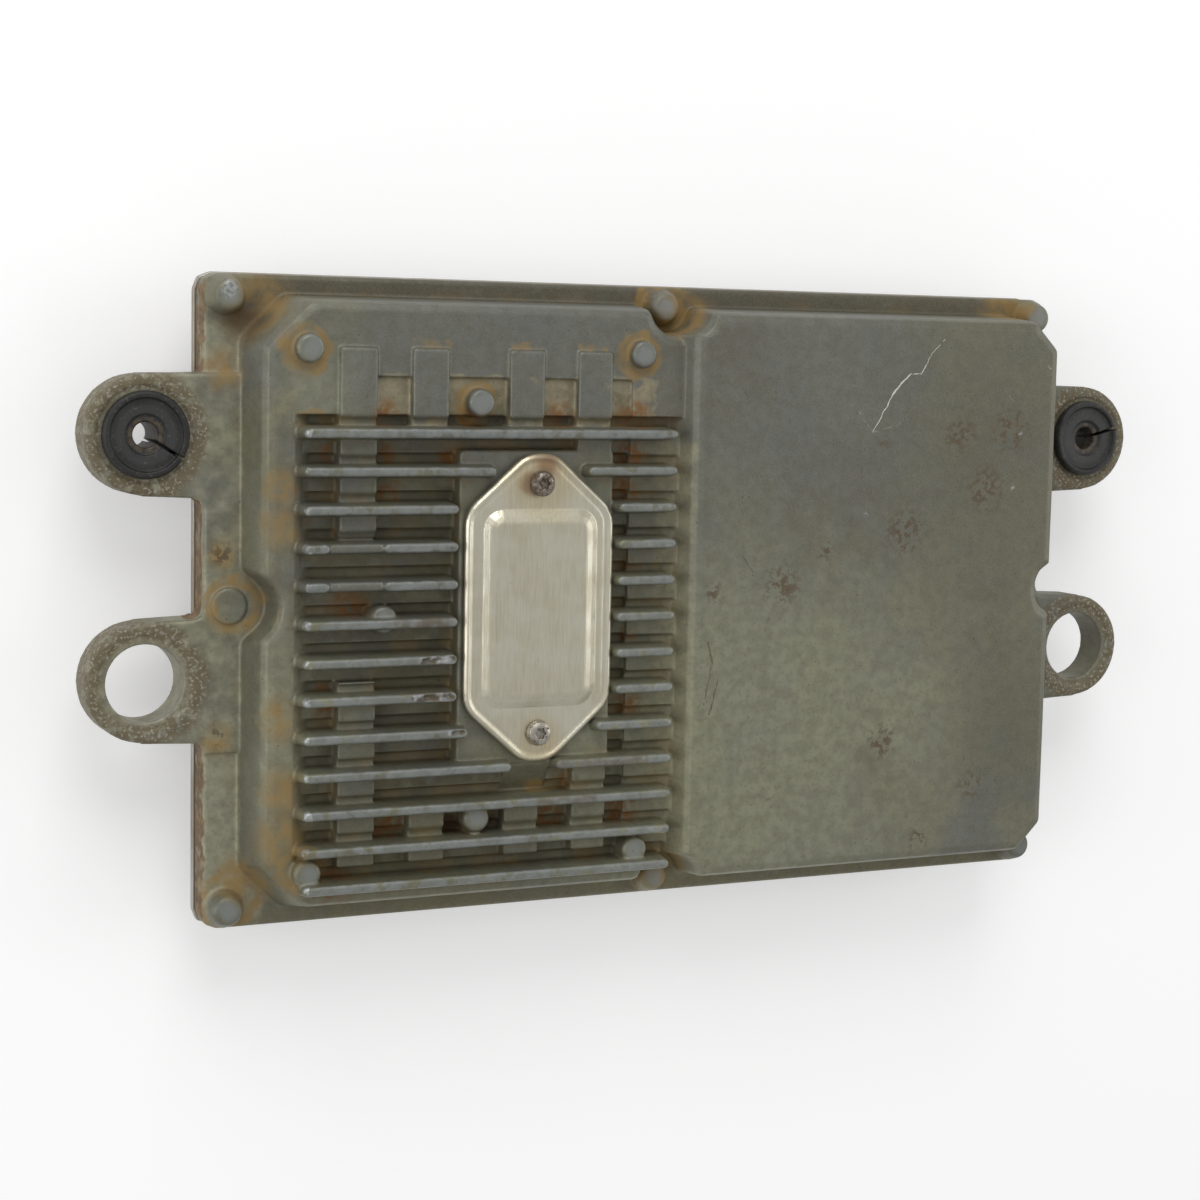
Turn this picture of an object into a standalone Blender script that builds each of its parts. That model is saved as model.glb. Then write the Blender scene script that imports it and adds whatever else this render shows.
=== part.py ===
"""Fuel injection control module: a finned die-cast housing on four ears, a stamped port cover,
two slit rubber grommets, a drawn rear cover with three sockets, and the boards inside.

It lies on its back with the fins up: X runs along the long side, Y along the short side, and the
origin is under the middle of the part, on the rear cover's flat face. Sizes are in millimetres
until an object is made.
"""

import math

import bmesh
import bpy
from mathutils import Vector

MM = 0.001
CLEARANCE = 0.3
OVERLAP = 1.0
THROUGH = 5.0
SCREW_STEPS = 8
HOLE_STEPS = 10

# Flange and rear cover
FLANGE_LENGTH = 271.5
FLANGE_WIDTH = 179.3
FLANGE_CORNER = 4.2
FLANGE_THICKNESS = 7.7
FLANGE_EDGE_ROUND = 1.2
GASKET_THICKNESS = 0.6
GASKET_SET_IN = 0.4
GASKET_BORDER = 11.0
COVER_SHEET = 2.0
COVER_OVERHANG = 0.6
PAN_DEPTH = 16.0
PAN_BORDER_X = 17.0
PAN_BORDER_Y = 15.0
PAN_CORNER = 12.0
PAN_EDGE_ROUND = 4.0
PAN_DRAFT = 1.2

# Heights of the housing's levels, measured down from the fin tops
FIN_TOP_TO_FLANGE = 17.7
FIN_TOP_TO_PLATFORM = 6.2
FIN_TOP_TO_BOX = 1.0
FIN_TOP_TO_PAD = 4.8
FIN_TOP_TO_LEDGE = 8.9
FIN_TOP_TO_FLOOR = 10.4
FIN_TOP_TO_PORT_SEAT = 4.9
FIN_TOP_TO_SIDE_TREAD = 7.6
PAD_STEP = 1.1
POCKET_DROP = 1.2
CASTING_WALL = 3.0

# Ears
EAR_SPACING = 303.6
UPPER_EAR_Y = 46.3
LOWER_EAR_Y = -20.5
EAR_RADIUS = 16.2
EAR_ROOT_HALF_WIDTH = 17.2
EAR_ROOT_FILLET = 2.5
EAR_RISE = 1.2
EAR_PLATE_WIDTH = 20.0
EAR_PLATE_BELOW = 3.0
EAR_PLATE_PROUD = 0.1
EAR_HOLE_RADIUS = 10.6
EAR_EDGE_ROUND = 1.2
EAR_REAR_ROUND = 0.8
EAR_LIP_RADIUS = 13.4
EAR_LIP_DEPTH = 0.5

# Raised platform, which carries the fins
PLATFORM_LEFT = -126.6
PLATFORM_SIDE_INSET = 5.05
PLATFORM_CORNER_CUT = 12.0
PLATFORM_SIDE_DRAFT = 0.42
PLATFORM_END_DRAFT = 0.14
PLATFORM_EDGE_ROUND = 2.4
CORNER_CUT_ROUND = 4.5

# Round notches that clear the flange bosses: centre, radius at the flange, and where each arc starts
NOTCH_SHOULDER = 2.5
SIDE_NOTCH_X = -127.4
SIDE_NOTCH_RADIUS = 8.5
SIDE_NOTCH_ANGLE = 50.0
END_NOTCH_X = 1.5
END_NOTCH_INSET = 5.45
END_NOTCH_RADIUS = 7.4
END_NOTCH_ANGLE = 20.0
RIGHT_NOTCH_X = 133.0
RIGHT_NOTCH_RADIUS = 6.2
RIGHT_NOTCH_ANGLE = 60.0

# Deep box half
BOX_LEFT = -4.7
BOX_RIGHT = 132.1
BOX_SIDE_INSET = 5.45
BOX_DRAFT = 0.1
BOX_RAMP_DRAFT = 0.62
BOX_CORNER_CUT = 9.5
BOX_EDGE_ROUND = 2.6
BOX_CAVITY_LEFT = 9.0
BOX_CAVITY_CUT = 8.5

# Fins
FIN_COUNT = 13
FIN_PITCH = 10.4
FIN_LEFT = -112.4
FIN_RIGHT = -1.4
FIRST_FIN_Y = 47.5
FIN_TOP_WIDTH = 2.6
FIN_DRAFT = 0.07
FIN_END_DRAFT = 0.16
FIN_EDGE_ROUND = 0.55
LEDGE_REACH = 5.6
LOWERED_FINS = (4, 5)
LOWERED_FROM = -105.4
LOWERED_TO = -90.0
LOWERED_DEPTH = 1.4
LOWERED_SLIMMER = 0.3
FIN_STOP_LEFT = 2.7
FIN_STOP_RIGHT = 1.0
SIDE_STOPPED_FINS = range(3, 9)
TIP_FIN_STOPS = {2: (-14.2, 13.9), 9: (-21.9, 17.8), 10: (-8.5, 5.5)}

# Floor of the fin field
FIELD_LEFT = -114.0
FIELD_LEFT_DRAFT = 1.3
FIELD_RUN_OUT = 12.0
STEP_RUN = 0.4
SIDE_TREAD_LEFT = -13.3
POCKET_TOP_Y = 62.8
PAD_WIDTH = 10.7
PAD_REACH = 6.2
PAD_CENTRES = (-96.0, -75.2, -46.5, -25.5)
PAD_TOP_Y = 70.6
PAD_BOTTOM_Y = -72.1
PAD_GAP = (-20.6, 18.6)
PAD_EDGE = 0.5

# Port cover and the seat under it
PORT_X = -43.1
PORT_Y = -1.6
PORT_COVER_WIDTH = 45.2
PORT_COVER_LENGTH = 87.2
PORT_COVER_SIDE = 55.0
PORT_COVER_SHEET = 1.2
PORT_COVER_SHOULDER = 9.0
PORT_TIP_RADIUS = 9.5
PORT_TIP_FLAT = 4.5
PORT_RIM_ROUND = 0.7
PORT_GASKET_THICKNESS = 0.8
PORT_GASKET_SET_IN = 0.5
PILLOW_WIDTH = 35.4
PILLOW_LENGTH = 56.6
PILLOW_HEIGHT = 1.9
PILLOW_SLOPE = 4.4
PILLOW_CORNER = 6.0
PORT_SEAT_MARGIN = 1.2
PORT_SEAT_EDGE = 0.6
PORT_SEAT_DRAFT = 0.05
PORT_OPENING_WIDTH = 27.0
PORT_OPENING_LENGTH = 46.0
PORT_SCREW_INSET = 8.35
PORT_SCREW_HEAD_RADIUS = 3.65
PORT_SCREW_HEAD_HEIGHT = 2.2
PORT_SCREW_SHANK_RADIUS = 1.7
PORT_SCREW_LENGTH = 6.0
STAR_RADIUS = 1.6
STAR_LOBE = 0.25
STAR_DEPTH = 1.3
STAR_STEPS = 24
TONGUE_LEFT = -51.5
TONGUE_RIGHT = -38.0
TONGUE_TOP_Y = -46.6
TONGUE_FOOT_Y = -54.5

# Conical flange bosses and the screws driven into them from behind
BOSS_INSET = 5.9
BOSS_BASE_RADIUS = 5.7
BOSS_TOP_RADIUS = 4.0
BOSS_HEIGHT = 5.2
BOSS_EDGE_ROUND = 1.0
MID_BOSS_X = 129.0
MID_BOSS_RADIUS = 5.0
MID_BOSS_HEIGHT = 1.2
COVER_SCREW_RADIUS = 1.7
COVER_SCREW_REACH = 9.0
COVER_SCREW_HEAD_RADIUS = 3.6
COVER_SCREW_HEAD_HEIGHT = 2.6

# Small blind bosses over the power board's screws
SMALL_BOSS_RADIUS = 4.0
SMALL_BOSS_TOP_RADIUS = 3.2
SMALL_BOSS_TO_FIN_TOP = 2.9
SMALL_BOSS_CAP = 1.0
SMALL_BOSS_CENTRES = (
    (-110.3, 70.1),
    (-11.2, 70.1),
    (-60.9, 55.9),
    (-88.9, -3.6),
    (-110.3, -73.0),
    (-11.2, -73.0),
    (-60.9, -60.7),
)
POST_RADIUS = 3.6
BOARD_SCREW_RADIUS = 1.4
BOARD_SCREW_REACH = 6.0
BOARD_SCREW_HEAD_RADIUS = 2.8
BOARD_SCREW_HEAD_HEIGHT = 1.8

# Grommets in the upper ears
GROMMET_RADIUS = 11.8
GROMMET_BORE = 3.4
GROMMET_LIP = 2.4
GROMMET_SLIT = 0.9
GROMMET_SLIT_ANGLES = {"grommet_left": -0.58, "grommet_right": 0.3}
GROMMET_DISH_RADIUS = 9.8
GROMMET_DISH_DEPTH = 0.8
GROMMET_RECESS_RADIUS = 5.2
GROMMET_RECESS_DEPTH = 0.9
GROMMET_EASE = 0.5

# Boards
BOARD_THICKNESS = 1.6
BOARD_EDGE_GAP = 3.5
POWER_BOARD_Z = 25.0
POWER_BOARD_RIGHT = 14.0
LOGIC_BOARD_Z = 19.3
LOGIC_BOARD_LEFT = 2.0
LOGIC_BOARD_CUT = 17.0
LOGIC_POST_RADIUS = 3.6
LOGIC_SCREW_LEFT = 22.0
LOGIC_SCREW_RIGHT = 110.0
LOGIC_SCREW_INSET = 18.2

# Sockets in the rear cover: centre, width and height of the shroud, pins per row
SOCKET_X = 76.0
SOCKET_SHAPES = (
    ("a", 42.0, 68.0, 24.0, 8),
    ("b", 2.0, 58.0, 24.0, 7),
    ("c", -38.0, 42.0, 24.0, 5),
)
SHROUD_WALL = 1.8
SHROUD_CORNER = 3.0
SHROUD_RECESS = 0.4
SHROUD_BACK_Z = 14.0
SHROUD_RIM_WIDTH = 2.6
SHROUD_RIM_THICKNESS = 1.8
SEAL_THICKNESS = 1.4
PIN_PITCH = 6.8
PIN_ROW_GAP = 7.0
PIN_SIZE = 1.6
PIN_TIP_Z = 5.6
PIN_BLOCK_THICKNESS = 2.2

# Parts on the power board
CAPACITOR_RADIUS = 8.0
CAPACITOR_LENGTH = 20.0
CAPACITOR_GROOVE = 0.7
CAPACITORS_AT = ((-104.0, 44.0), (-104.0, 24.0), (-104.0, -28.0), (-104.0, -48.0))
INDUCTOR_SIZE = 23.0
INDUCTOR_HEIGHT = 15.0
INDUCTORS_AT = ((-74.0, 32.0), (-74.0, -38.0))
TRANSISTOR_ROW_LENGTH = 92.0
TRANSISTOR_ROW_WIDTH = 9.0
TRANSISTOR_HEIGHT = 2.6
TRANSISTOR_COUNT = 7
TRANSISTOR_ROWS_Y = (38.0, -44.0)
HEADER_WIDTH = 5.0
HEADER_LENGTH = 56.0
HEADER_X = 9.0
SERVICE_HEADER_SIZE = (22.0, 8.0, 3.2)
CHIP_SIZE = 24.0
CHIP_HEIGHT = 2.4
CHIP_Y = 0.0
MEMORY_X = 102.0
MEMORY_SIZE = (12.0, 18.0, 1.8)

# Half widths and fin ends that follow from the values above
PLATFORM_HALF_WIDTH = FLANGE_WIDTH / 2.0 - PLATFORM_SIDE_INSET
BOX_HALF_WIDTH = FLANGE_WIDTH / 2.0 - BOX_SIDE_INSET
END_NOTCH_Y = FLANGE_WIDTH / 2.0 - END_NOTCH_INSET
SIDE_FIN_ENDS = (
    PORT_X - PORT_COVER_WIDTH / 2.0 - FIN_STOP_LEFT,
    PORT_X + PORT_COVER_WIDTH / 2.0 + FIN_STOP_RIGHT,
)
FIN_INNER_ENDS = {index: SIDE_FIN_ENDS for index in SIDE_STOPPED_FINS}
for tip_fin, (left_stop, right_stop) in TIP_FIN_STOPS.items():
    FIN_INNER_ENDS[tip_fin] = (PORT_X + left_stop, PORT_X + right_stop)

# Heights that follow from the values above
COVER_REAR_RIM_Z = PAN_DEPTH
COVER_RIM_TOP_Z = COVER_REAR_RIM_Z + COVER_SHEET
FLANGE_REAR_Z = COVER_RIM_TOP_Z + GASKET_THICKNESS + 2.0 * CLEARANCE
FLANGE_Z = FLANGE_REAR_Z + FLANGE_THICKNESS
EAR_Z = FLANGE_Z + EAR_RISE
FIN_TOP_Z = FLANGE_Z + FIN_TOP_TO_FLANGE
PLATFORM_Z = FIN_TOP_Z - FIN_TOP_TO_PLATFORM
BOX_Z = FIN_TOP_Z - FIN_TOP_TO_BOX
PAD_Z = FIN_TOP_Z - FIN_TOP_TO_PAD
LEDGE_Z = FIN_TOP_Z - FIN_TOP_TO_LEDGE
FLOOR_Z = FIN_TOP_Z - FIN_TOP_TO_FLOOR
POCKET_Z = PLATFORM_Z - POCKET_DROP
PORT_SEAT_Z = FIN_TOP_Z - FIN_TOP_TO_PORT_SEAT
SMALL_BOSS_Z = FIN_TOP_Z - SMALL_BOSS_TO_FIN_TOP
SIDE_TREAD_Z = FIN_TOP_Z - FIN_TOP_TO_SIDE_TREAD
FIELD_CEILING_Z = FLOOR_Z - CASTING_WALL
BOX_CEILING_Z = BOX_Z - CASTING_WALL
LAST_FIN_Y = FIRST_FIN_Y - (FIN_COUNT - 1) * FIN_PITCH
EAR_CENTRES = tuple(
    (side * EAR_SPACING / 2.0, height)
    for height in (UPPER_EAR_Y, LOWER_EAR_Y)
    for side in (-1.0, 1.0)
)
BOSS_X = FLANGE_LENGTH / 2.0 - BOSS_INSET
BOSS_Y = FLANGE_WIDTH / 2.0 - BOSS_INSET
CONE_BOSS_CENTRES = tuple((x, y) for y in (BOSS_Y, -BOSS_Y) for x in (-BOSS_X, 0.0, BOSS_X))
MID_BOSS_CENTRES = ((-MID_BOSS_X, 0.0), (MID_BOSS_X, 0.0))
BOSS_CENTRES = CONE_BOSS_CENTRES + MID_BOSS_CENTRES


def clear_scene():
    for old in list(bpy.data.objects):
        bpy.data.objects.remove(old)


def material(name, colour, roughness, metallic):
    made = bpy.data.materials.new(name)
    made.use_nodes = True
    shader = made.node_tree.nodes["Principled BSDF"]
    shader.inputs["Base Color"].default_value = (*colour, 1.0)
    shader.inputs["Roughness"].default_value = roughness
    shader.inputs["Metallic"].default_value = metallic
    return made


def offset_corners(corners, insets):
    """The corners of an outline after each side has moved inwards by its own inset."""
    count = len(corners)
    moved = []
    for i in range(count):
        before = Vector(corners[i - 1][:2])
        here = Vector(corners[i][:2])
        after = Vector(corners[(i + 1) % count][:2])
        along_in = (here - before).normalized()
        along_out = (after - here).normalized()
        normal_in = Vector((-along_in.y, along_in.x))
        normal_out = Vector((-along_out.y, along_out.x))
        start = here + normal_in * insets[i - 1]
        end = here + normal_out * insets[i]
        turn = along_in.x * along_out.y - along_in.y * along_out.x
        if abs(turn) < 1e-6:
            moved.append((start + end) / 2.0)
            continue
        gap = end - start
        share = (gap.x * along_out.y - gap.y * along_out.x) / turn
        moved.append(start + along_in * share)
    return moved


def rounded_outline(corners, inset=0.0, steps=2, extra=None):
    """Points round an outline given anticlockwise as (x, y, radius), moved inwards by the inset.

    Side i runs from corner i to the next and may have an extra inset of its own. An outer
    corner's radius shrinks by the inset and an inner corner's grows by it, so nested outlines
    have the same number of points and can be joined ring to ring.
    """
    count = len(corners)
    insets = [inset + (extra[i] if extra else 0.0) for i in range(count)]
    moved = offset_corners(corners, insets)
    points = []
    for i in range(count):
        before, here, after = moved[i - 1], moved[i], moved[(i + 1) % count]
        to_before = (before - here).normalized()
        to_after = (after - here).normalized()
        outer = to_after.cross(to_before) > 0.0
        radius = corners[i][2] + (-inset if outer else inset)
        half = to_before.angle(to_after) / 2.0
        room = 0.48 * min((before - here).length, (after - here).length)
        reach = min(max(radius, 0.2) / math.tan(half), room)
        radius = reach * math.tan(half)
        centre = here + (to_before + to_after).normalized() * (radius / math.sin(half))
        first = here + to_before * reach - centre
        last = here + to_after * reach - centre
        start = math.atan2(first.y, first.x)
        sweep = math.atan2(last.y, last.x) - start
        sweep = (sweep + math.pi) % (2.0 * math.pi) - math.pi
        for step in range(steps + 1):
            angle = start + sweep * step / steps
            points.append(centre + radius * Vector((math.cos(angle), math.sin(angle))))
    return points


def arc_corners(x, y, radius, start, end, count):
    """Corners of a polygon round an arc, in degrees. Rounded by the arc's radius they give the arc."""
    half = math.radians(end - start) / count / 2.0
    reach = radius / math.cos(half)
    angles = [math.radians(start) + half * (2 * i + 1) for i in range(count)]
    return [(x + reach * math.cos(angle), y + reach * math.sin(angle), radius) for angle in angles]


def tangent_at_x(x, y, radius, angle, wall):
    """The height at which a circle's tangent, touching at the angle, meets the line X = wall."""
    turn = math.radians(angle)
    return y + (radius - (wall - x) * math.cos(turn)) / math.sin(turn)


def tangent_at_y(x, y, radius, angle, wall):
    """The place at which a circle's tangent, touching at the angle, meets the line Y = wall."""
    turn = math.radians(angle)
    return x + (radius - (wall - y) * math.sin(turn)) / math.cos(turn)


def mirrored(corners):
    return [(x, -y, radius) for x, y, radius in reversed(corners)]


def ring(points, height):
    return [Vector((point[0], point[1], height)) for point in points]


def box_corners(x_low, x_high, y_low, y_high, radius):
    return [
        (x_low, y_low, radius),
        (x_high, y_low, radius),
        (x_high, y_high, radius),
        (x_low, y_high, radius),
    ]


def centred_corners(x, y, length, width, radius):
    return box_corners(x - length / 2.0, x + length / 2.0, y - width / 2.0, y + width / 2.0, radius)


def circle(x, y, radius, steps=24):
    turn = 2.0 * math.pi / steps
    return [(x + radius * math.cos(turn * i), y + radius * math.sin(turn * i)) for i in range(steps)]


def mesh_object(name, bm, look=None):
    bmesh.ops.recalc_face_normals(bm, faces=bm.faces)
    bmesh.ops.scale(bm, vec=(MM, MM, MM), verts=bm.verts)
    mesh = bpy.data.meshes.new(name)
    bm.to_mesh(mesh)
    bm.free()
    made = bpy.data.objects.new(name, mesh)
    bpy.context.scene.collection.objects.link(made)
    if look:
        mesh.materials.append(look)
    return made


def loft(name, rings, look=None, closed=False):
    """A body through rings of equal point counts, capped at both ends unless it closes on itself."""
    bm = bmesh.new()
    rows = [[bm.verts.new(point) for point in points] for points in rings]
    count = len(rows[0])
    pairs = list(zip(rows, rows[1:])) + ([(rows[-1], rows[0])] if closed else [])
    for low, high in pairs:
        for i in range(count):
            j = (i + 1) % count
            bm.faces.new((low[i], low[j], high[j], high[i]))
    if not closed:
        bm.faces.new(list(reversed(rows[0])))
        bm.faces.new(rows[-1])
    return mesh_object(name, bm, look)


def prism(name, outline, low, high, look=None):
    return loft(name, [ring(outline, low), ring(outline, high)], look)


def turned(name, x, y, profile, look=None, steps=24, closed=False):
    """A body of revolution about the vertical line through (x, y), from (radius, height) pairs."""
    rings = [ring(circle(x, y, radius, steps), height) for radius, height in profile]
    return loft(name, rings, look, closed)


def raised(name, corners, low, high, edge, draft, look=None, steps=2, side_drafts=None, cuts=2):
    """A drafted body from low to high whose upper edge is rounded."""

    def at(height, inset):
        rise = height - low
        extra = [rise * side for side in side_drafts] if side_drafts else None
        spread = inset if side_drafts else inset + rise * draft
        return ring(rounded_outline(corners, spread, steps, extra), height)

    rings = [at(low, 0.0)]
    for cut in range(cuts + 1):
        angle = 0.5 * math.pi * cut / cuts
        rings.append(at(high - edge + edge * math.sin(angle), edge * (1.0 - math.cos(angle))))
    return loft(name, rings, look)


def helper_group(name, members):
    """A collection of guide shapes for one Boolean, none of them a piece of the part."""
    group = bpy.data.collections.new(name)
    bpy.context.scene.collection.children.link(group)
    for member in members:
        bpy.context.scene.collection.objects.unlink(member)
        group.objects.link(member)
        member.hide_render = True
        member.display_type = "WIRE"
    return group


def combine(target, name, operation, members):
    modifier = target.modifiers.new(name, "BOOLEAN")
    modifier.operation = operation
    modifier.solver = "EXACT"
    modifier.operand_type = "COLLECTION"
    modifier.collection = helper_group(target.name + "_" + name, members)


def shade_round(target, angle=0.6):
    target.data.shade_smooth()
    target.data.set_sharp_from_angle(angle=angle)


def flange_corners():
    half_x, half_y = FLANGE_LENGTH / 2.0, FLANGE_WIDTH / 2.0
    return box_corners(-half_x, half_x, -half_y, half_y, FLANGE_CORNER)


def platform_corners(right):
    """The platform's outline at the flange, with round notches at three flange bosses."""
    left, half, cut = PLATFORM_LEFT, PLATFORM_HALF_WIDTH, PLATFORM_CORNER_CUT
    x, y, radius = END_NOTCH_X, -END_NOTCH_Y, END_NOTCH_RADIUS
    start = 180.0 - END_NOTCH_ANGLE
    lower_side = [
        (left, -half + cut, CORNER_CUT_ROUND),
        (left + cut, -half, CORNER_CUT_ROUND),
        (tangent_at_y(x, y, radius, start, -half), -half, NOTCH_SHOULDER),
        *arc_corners(x, y, radius, start, 90.0, 2),
        (right, y + radius, NOTCH_SHOULDER),
    ]
    angle = SIDE_NOTCH_ANGLE
    mouth = tangent_at_x(SIDE_NOTCH_X, 0.0, SIDE_NOTCH_RADIUS, angle, left)
    notch = arc_corners(SIDE_NOTCH_X, 0.0, SIDE_NOTCH_RADIUS, angle, -angle, 3)
    notch = [(left, mouth, NOTCH_SHOULDER), *notch, (left, -mouth, NOTCH_SHOULDER)]
    return lower_side + mirrored(lower_side) + notch


def platform_side_drafts():
    """One draft for each side of the platform's outline: the left wall leans more."""
    side, end = PLATFORM_SIDE_DRAFT, PLATFORM_END_DRAFT
    lower_side = [side, end, end, end, end, end]
    upper_side = [end, end, end, end, side, side]
    return lower_side + upper_side + [end, end, end, end, side]


def box_outer_side():
    """The lower right corner of the deep half's outline and the notch at its right."""
    half, right = BOX_HALF_WIDTH, BOX_RIGHT
    x, radius, angle = RIGHT_NOTCH_X, RIGHT_NOTCH_RADIUS, RIGHT_NOTCH_ANGLE
    corner = [
        (right - BOX_CORNER_CUT, -half, CORNER_CUT_ROUND),
        (right, -half + BOX_CORNER_CUT, CORNER_CUT_ROUND),
        (right, tangent_at_x(x, 0.0, radius, 180.0 + angle, right), NOTCH_SHOULDER),
    ]
    return corner, arc_corners(x, 0.0, radius, 180.0 + angle, 180.0 - angle, 3)


def box_corners_outside(left):
    """The deep half's outline at the flange, with round notches at three flange bosses."""
    x, y, radius = END_NOTCH_X, -END_NOTCH_Y, END_NOTCH_RADIUS
    corner, notch = box_outer_side()
    lower_side = [
        (left, y + radius, NOTCH_SHOULDER),
        *arc_corners(x, y, radius, 90.0, END_NOTCH_ANGLE, 2),
        (tangent_at_y(x, y, radius, END_NOTCH_ANGLE, -BOX_HALF_WIDTH), -BOX_HALF_WIDTH, NOTCH_SHOULDER),
        *corner,
    ]
    return lower_side + notch + mirrored(lower_side)


def box_corners_inside(left, cut):
    """The same outline for what lies inside the deep half: its left corners are cut instead."""
    half = BOX_HALF_WIDTH
    corner, notch = box_outer_side()
    lower_side = [(left, -half + cut, NOTCH_SHOULDER), (left + cut, -half, NOTCH_SHOULDER), *corner]
    return lower_side + notch + mirrored(lower_side)


def deep_half():
    """The deep half: a drafted block whose left side is cut back to a ramp with a soft upper edge."""
    low = FLANGE_Z - OVERLAP
    corners = box_corners_outside(BOX_LEFT - OVERLAP)
    block = raised("deep_half", corners, low, BOX_Z, BOX_EDGE_ROUND, BOX_DRAFT)
    slope, soft = BOX_RAMP_DRAFT, BOX_EDGE_ROUND
    edge = BOX_LEFT + (BOX_Z - low) * slope
    line = [
        (BOX_LEFT - slope * OVERLAP, low - OVERLAP),
        (edge - slope * soft, BOX_Z - soft),
        (edge - 0.1 * soft, BOX_Z - 0.45 * soft),
        (edge + 0.5 * soft, BOX_Z - 0.14 * soft),
        (edge + 1.3 * soft, BOX_Z + 0.03 * soft),
    ]
    outside = BOX_LEFT - THROUGH
    line += [(edge + 1.3 * soft, BOX_Z + THROUGH), (outside, BOX_Z + THROUGH), (outside, low - OVERLAP)]
    reach = BOX_HALF_WIDTH + THROUGH
    ends = [[Vector((x, y, z)) for x, z in line] for y in (-reach, reach)]
    combine(block, "ramp", "DIFFERENCE", [loft("ramp", ends)])
    return block


def ear_plate(side):
    """One side's two ears and the raised strip of flange that joins them."""
    inner = FLANGE_LENGTH / 2.0 - EAR_PLATE_WIDTH
    edge = FLANGE_LENGTH / 2.0 + EAR_PLATE_PROUD
    root, fillet = EAR_ROOT_HALF_WIDTH, EAR_ROOT_FILLET
    below = LOWER_EAR_Y - root - EAR_PLATE_BELOW
    above = UPPER_EAR_Y + root
    corners = [(inner, below, fillet), (edge, below, 0.0)]
    for y in (LOWER_EAR_Y, UPPER_EAR_Y):
        corners.append((edge, y - root, fillet))
        corners += arc_corners(EAR_SPACING / 2.0, y, EAR_RADIUS, -90.0, 90.0, 4)
        corners.append((edge, y + root, fillet))
    corners[-1] = (inner, above, fillet)
    if side < 0.0:
        corners = [(-x, y, radius) for x, y, radius in reversed(corners)]
    low, high, top_edge = COVER_REAR_RIM_Z, EAR_Z, EAR_EDGE_ROUND
    levels = (
        (low, EAR_REAR_ROUND),
        (low + EAR_REAR_ROUND, 0.0),
        (high - top_edge, 0.0),
        (high - 0.3 * top_edge, 0.3 * top_edge),
        (high, top_edge),
    )
    return loft("ear_plate", [ring(rounded_outline(corners, inset, 2), level) for level, inset in levels])


def cone_boss(x, y):
    edge = BOSS_EDGE_ROUND
    top = FLANGE_Z + BOSS_HEIGHT
    profile = (
        (BOSS_BASE_RADIUS, FLANGE_Z - OVERLAP),
        (BOSS_BASE_RADIUS, FLANGE_Z),
        (BOSS_TOP_RADIUS + 0.25 * edge, top - edge),
        (BOSS_TOP_RADIUS - 0.3 * edge, top - 0.25 * edge),
        (BOSS_TOP_RADIUS - edge, top),
    )
    return turned("flange_boss", x, y, profile, steps=20)


def mid_boss(x, y):
    """The low disc over a cover screw between two ears."""
    top = EAR_Z + MID_BOSS_HEIGHT
    soft = MID_BOSS_RADIUS - 0.3 * MID_BOSS_HEIGHT
    profile = (
        (MID_BOSS_RADIUS, FLANGE_Z - OVERLAP),
        (MID_BOSS_RADIUS, top - 0.3 * MID_BOSS_HEIGHT),
        (soft, top),
    )
    return turned("mid_boss", x, y, profile, steps=24)


def small_boss(x, y):
    profile = (
        (SMALL_BOSS_RADIUS, FLOOR_Z - OVERLAP),
        (SMALL_BOSS_RADIUS, SMALL_BOSS_Z - SMALL_BOSS_CAP),
        (0.5 * (SMALL_BOSS_RADIUS + SMALL_BOSS_TOP_RADIUS), SMALL_BOSS_Z - 0.3 * SMALL_BOSS_CAP),
        (SMALL_BOSS_TOP_RADIUS, SMALL_BOSS_Z),
    )
    return turned("small_boss", x, y, profile, steps=16)


def fin_y(index):
    return FIRST_FIN_Y - (index - 1) * FIN_PITCH


def fin(x_low, x_high, y, top, top_width=FIN_TOP_WIDTH):
    """One drafted fin with rounded ends and a rounded top, down to just under the floor."""
    foot = FLOOR_Z - OVERLAP
    rings = []
    for height, inset in ((foot, 0.0), (top - FIN_EDGE_ROUND, 0.0), (top, FIN_EDGE_ROUND)):
        grown = (FIN_TOP_Z - height) * FIN_DRAFT - inset
        lengthened = (FIN_TOP_Z - height) * FIN_END_DRAFT - inset
        half = top_width / 2.0 + grown
        corners = box_corners(x_low - lengthened, x_high + lengthened, y - half, y + half, half)
        rings.append(ring(rounded_outline(corners, steps=2), height))
    return loft("fin", rings)


def fins():
    """Thirteen fins on one pitch. The port cover interrupts some, and two have a low stretch."""
    made = []
    for index in range(1, FIN_COUNT + 1):
        y = fin_y(index)
        left_end, right_start = FIN_INNER_ENDS.get(index, (FIN_RIGHT, None))
        if index in LOWERED_FINS:
            made.append(
                fin(LOWERED_FROM - OVERLAP, LOWERED_TO + OVERLAP, y, FIN_TOP_Z - LOWERED_DEPTH,
                    FIN_TOP_WIDTH - LOWERED_SLIMMER)
            )
            made.append(fin(FIN_LEFT, LOWERED_FROM, y, FIN_TOP_Z))
            made.append(fin(LOWERED_TO, left_end, y, FIN_TOP_Z))
        else:
            made.append(fin(FIN_LEFT, left_end, y, FIN_TOP_Z))
        if right_start is not None:
            made.append(fin(right_start, FIN_RIGHT, y, FIN_TOP_Z))
    return made


def stepped_line(y_high, y_low, upper, lower, reach):
    """(y, z) points down the field: after each fin a high tread, then a low one up to the next."""
    changes = []
    for index in range(FIN_COUNT + 1):
        changes.append((fin_y(index) - reach, upper, lower))
        changes.append((fin_y(index + 1), lower, upper))
    changes = [change for change in changes if y_low < change[0] < y_high]
    points = [(y_high, changes[0][1])]
    for y, before, after in changes:
        points += [(y, before), (y - STEP_RUN, after)]
    points.append((y_low, changes[-1][2]))
    return points


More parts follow.
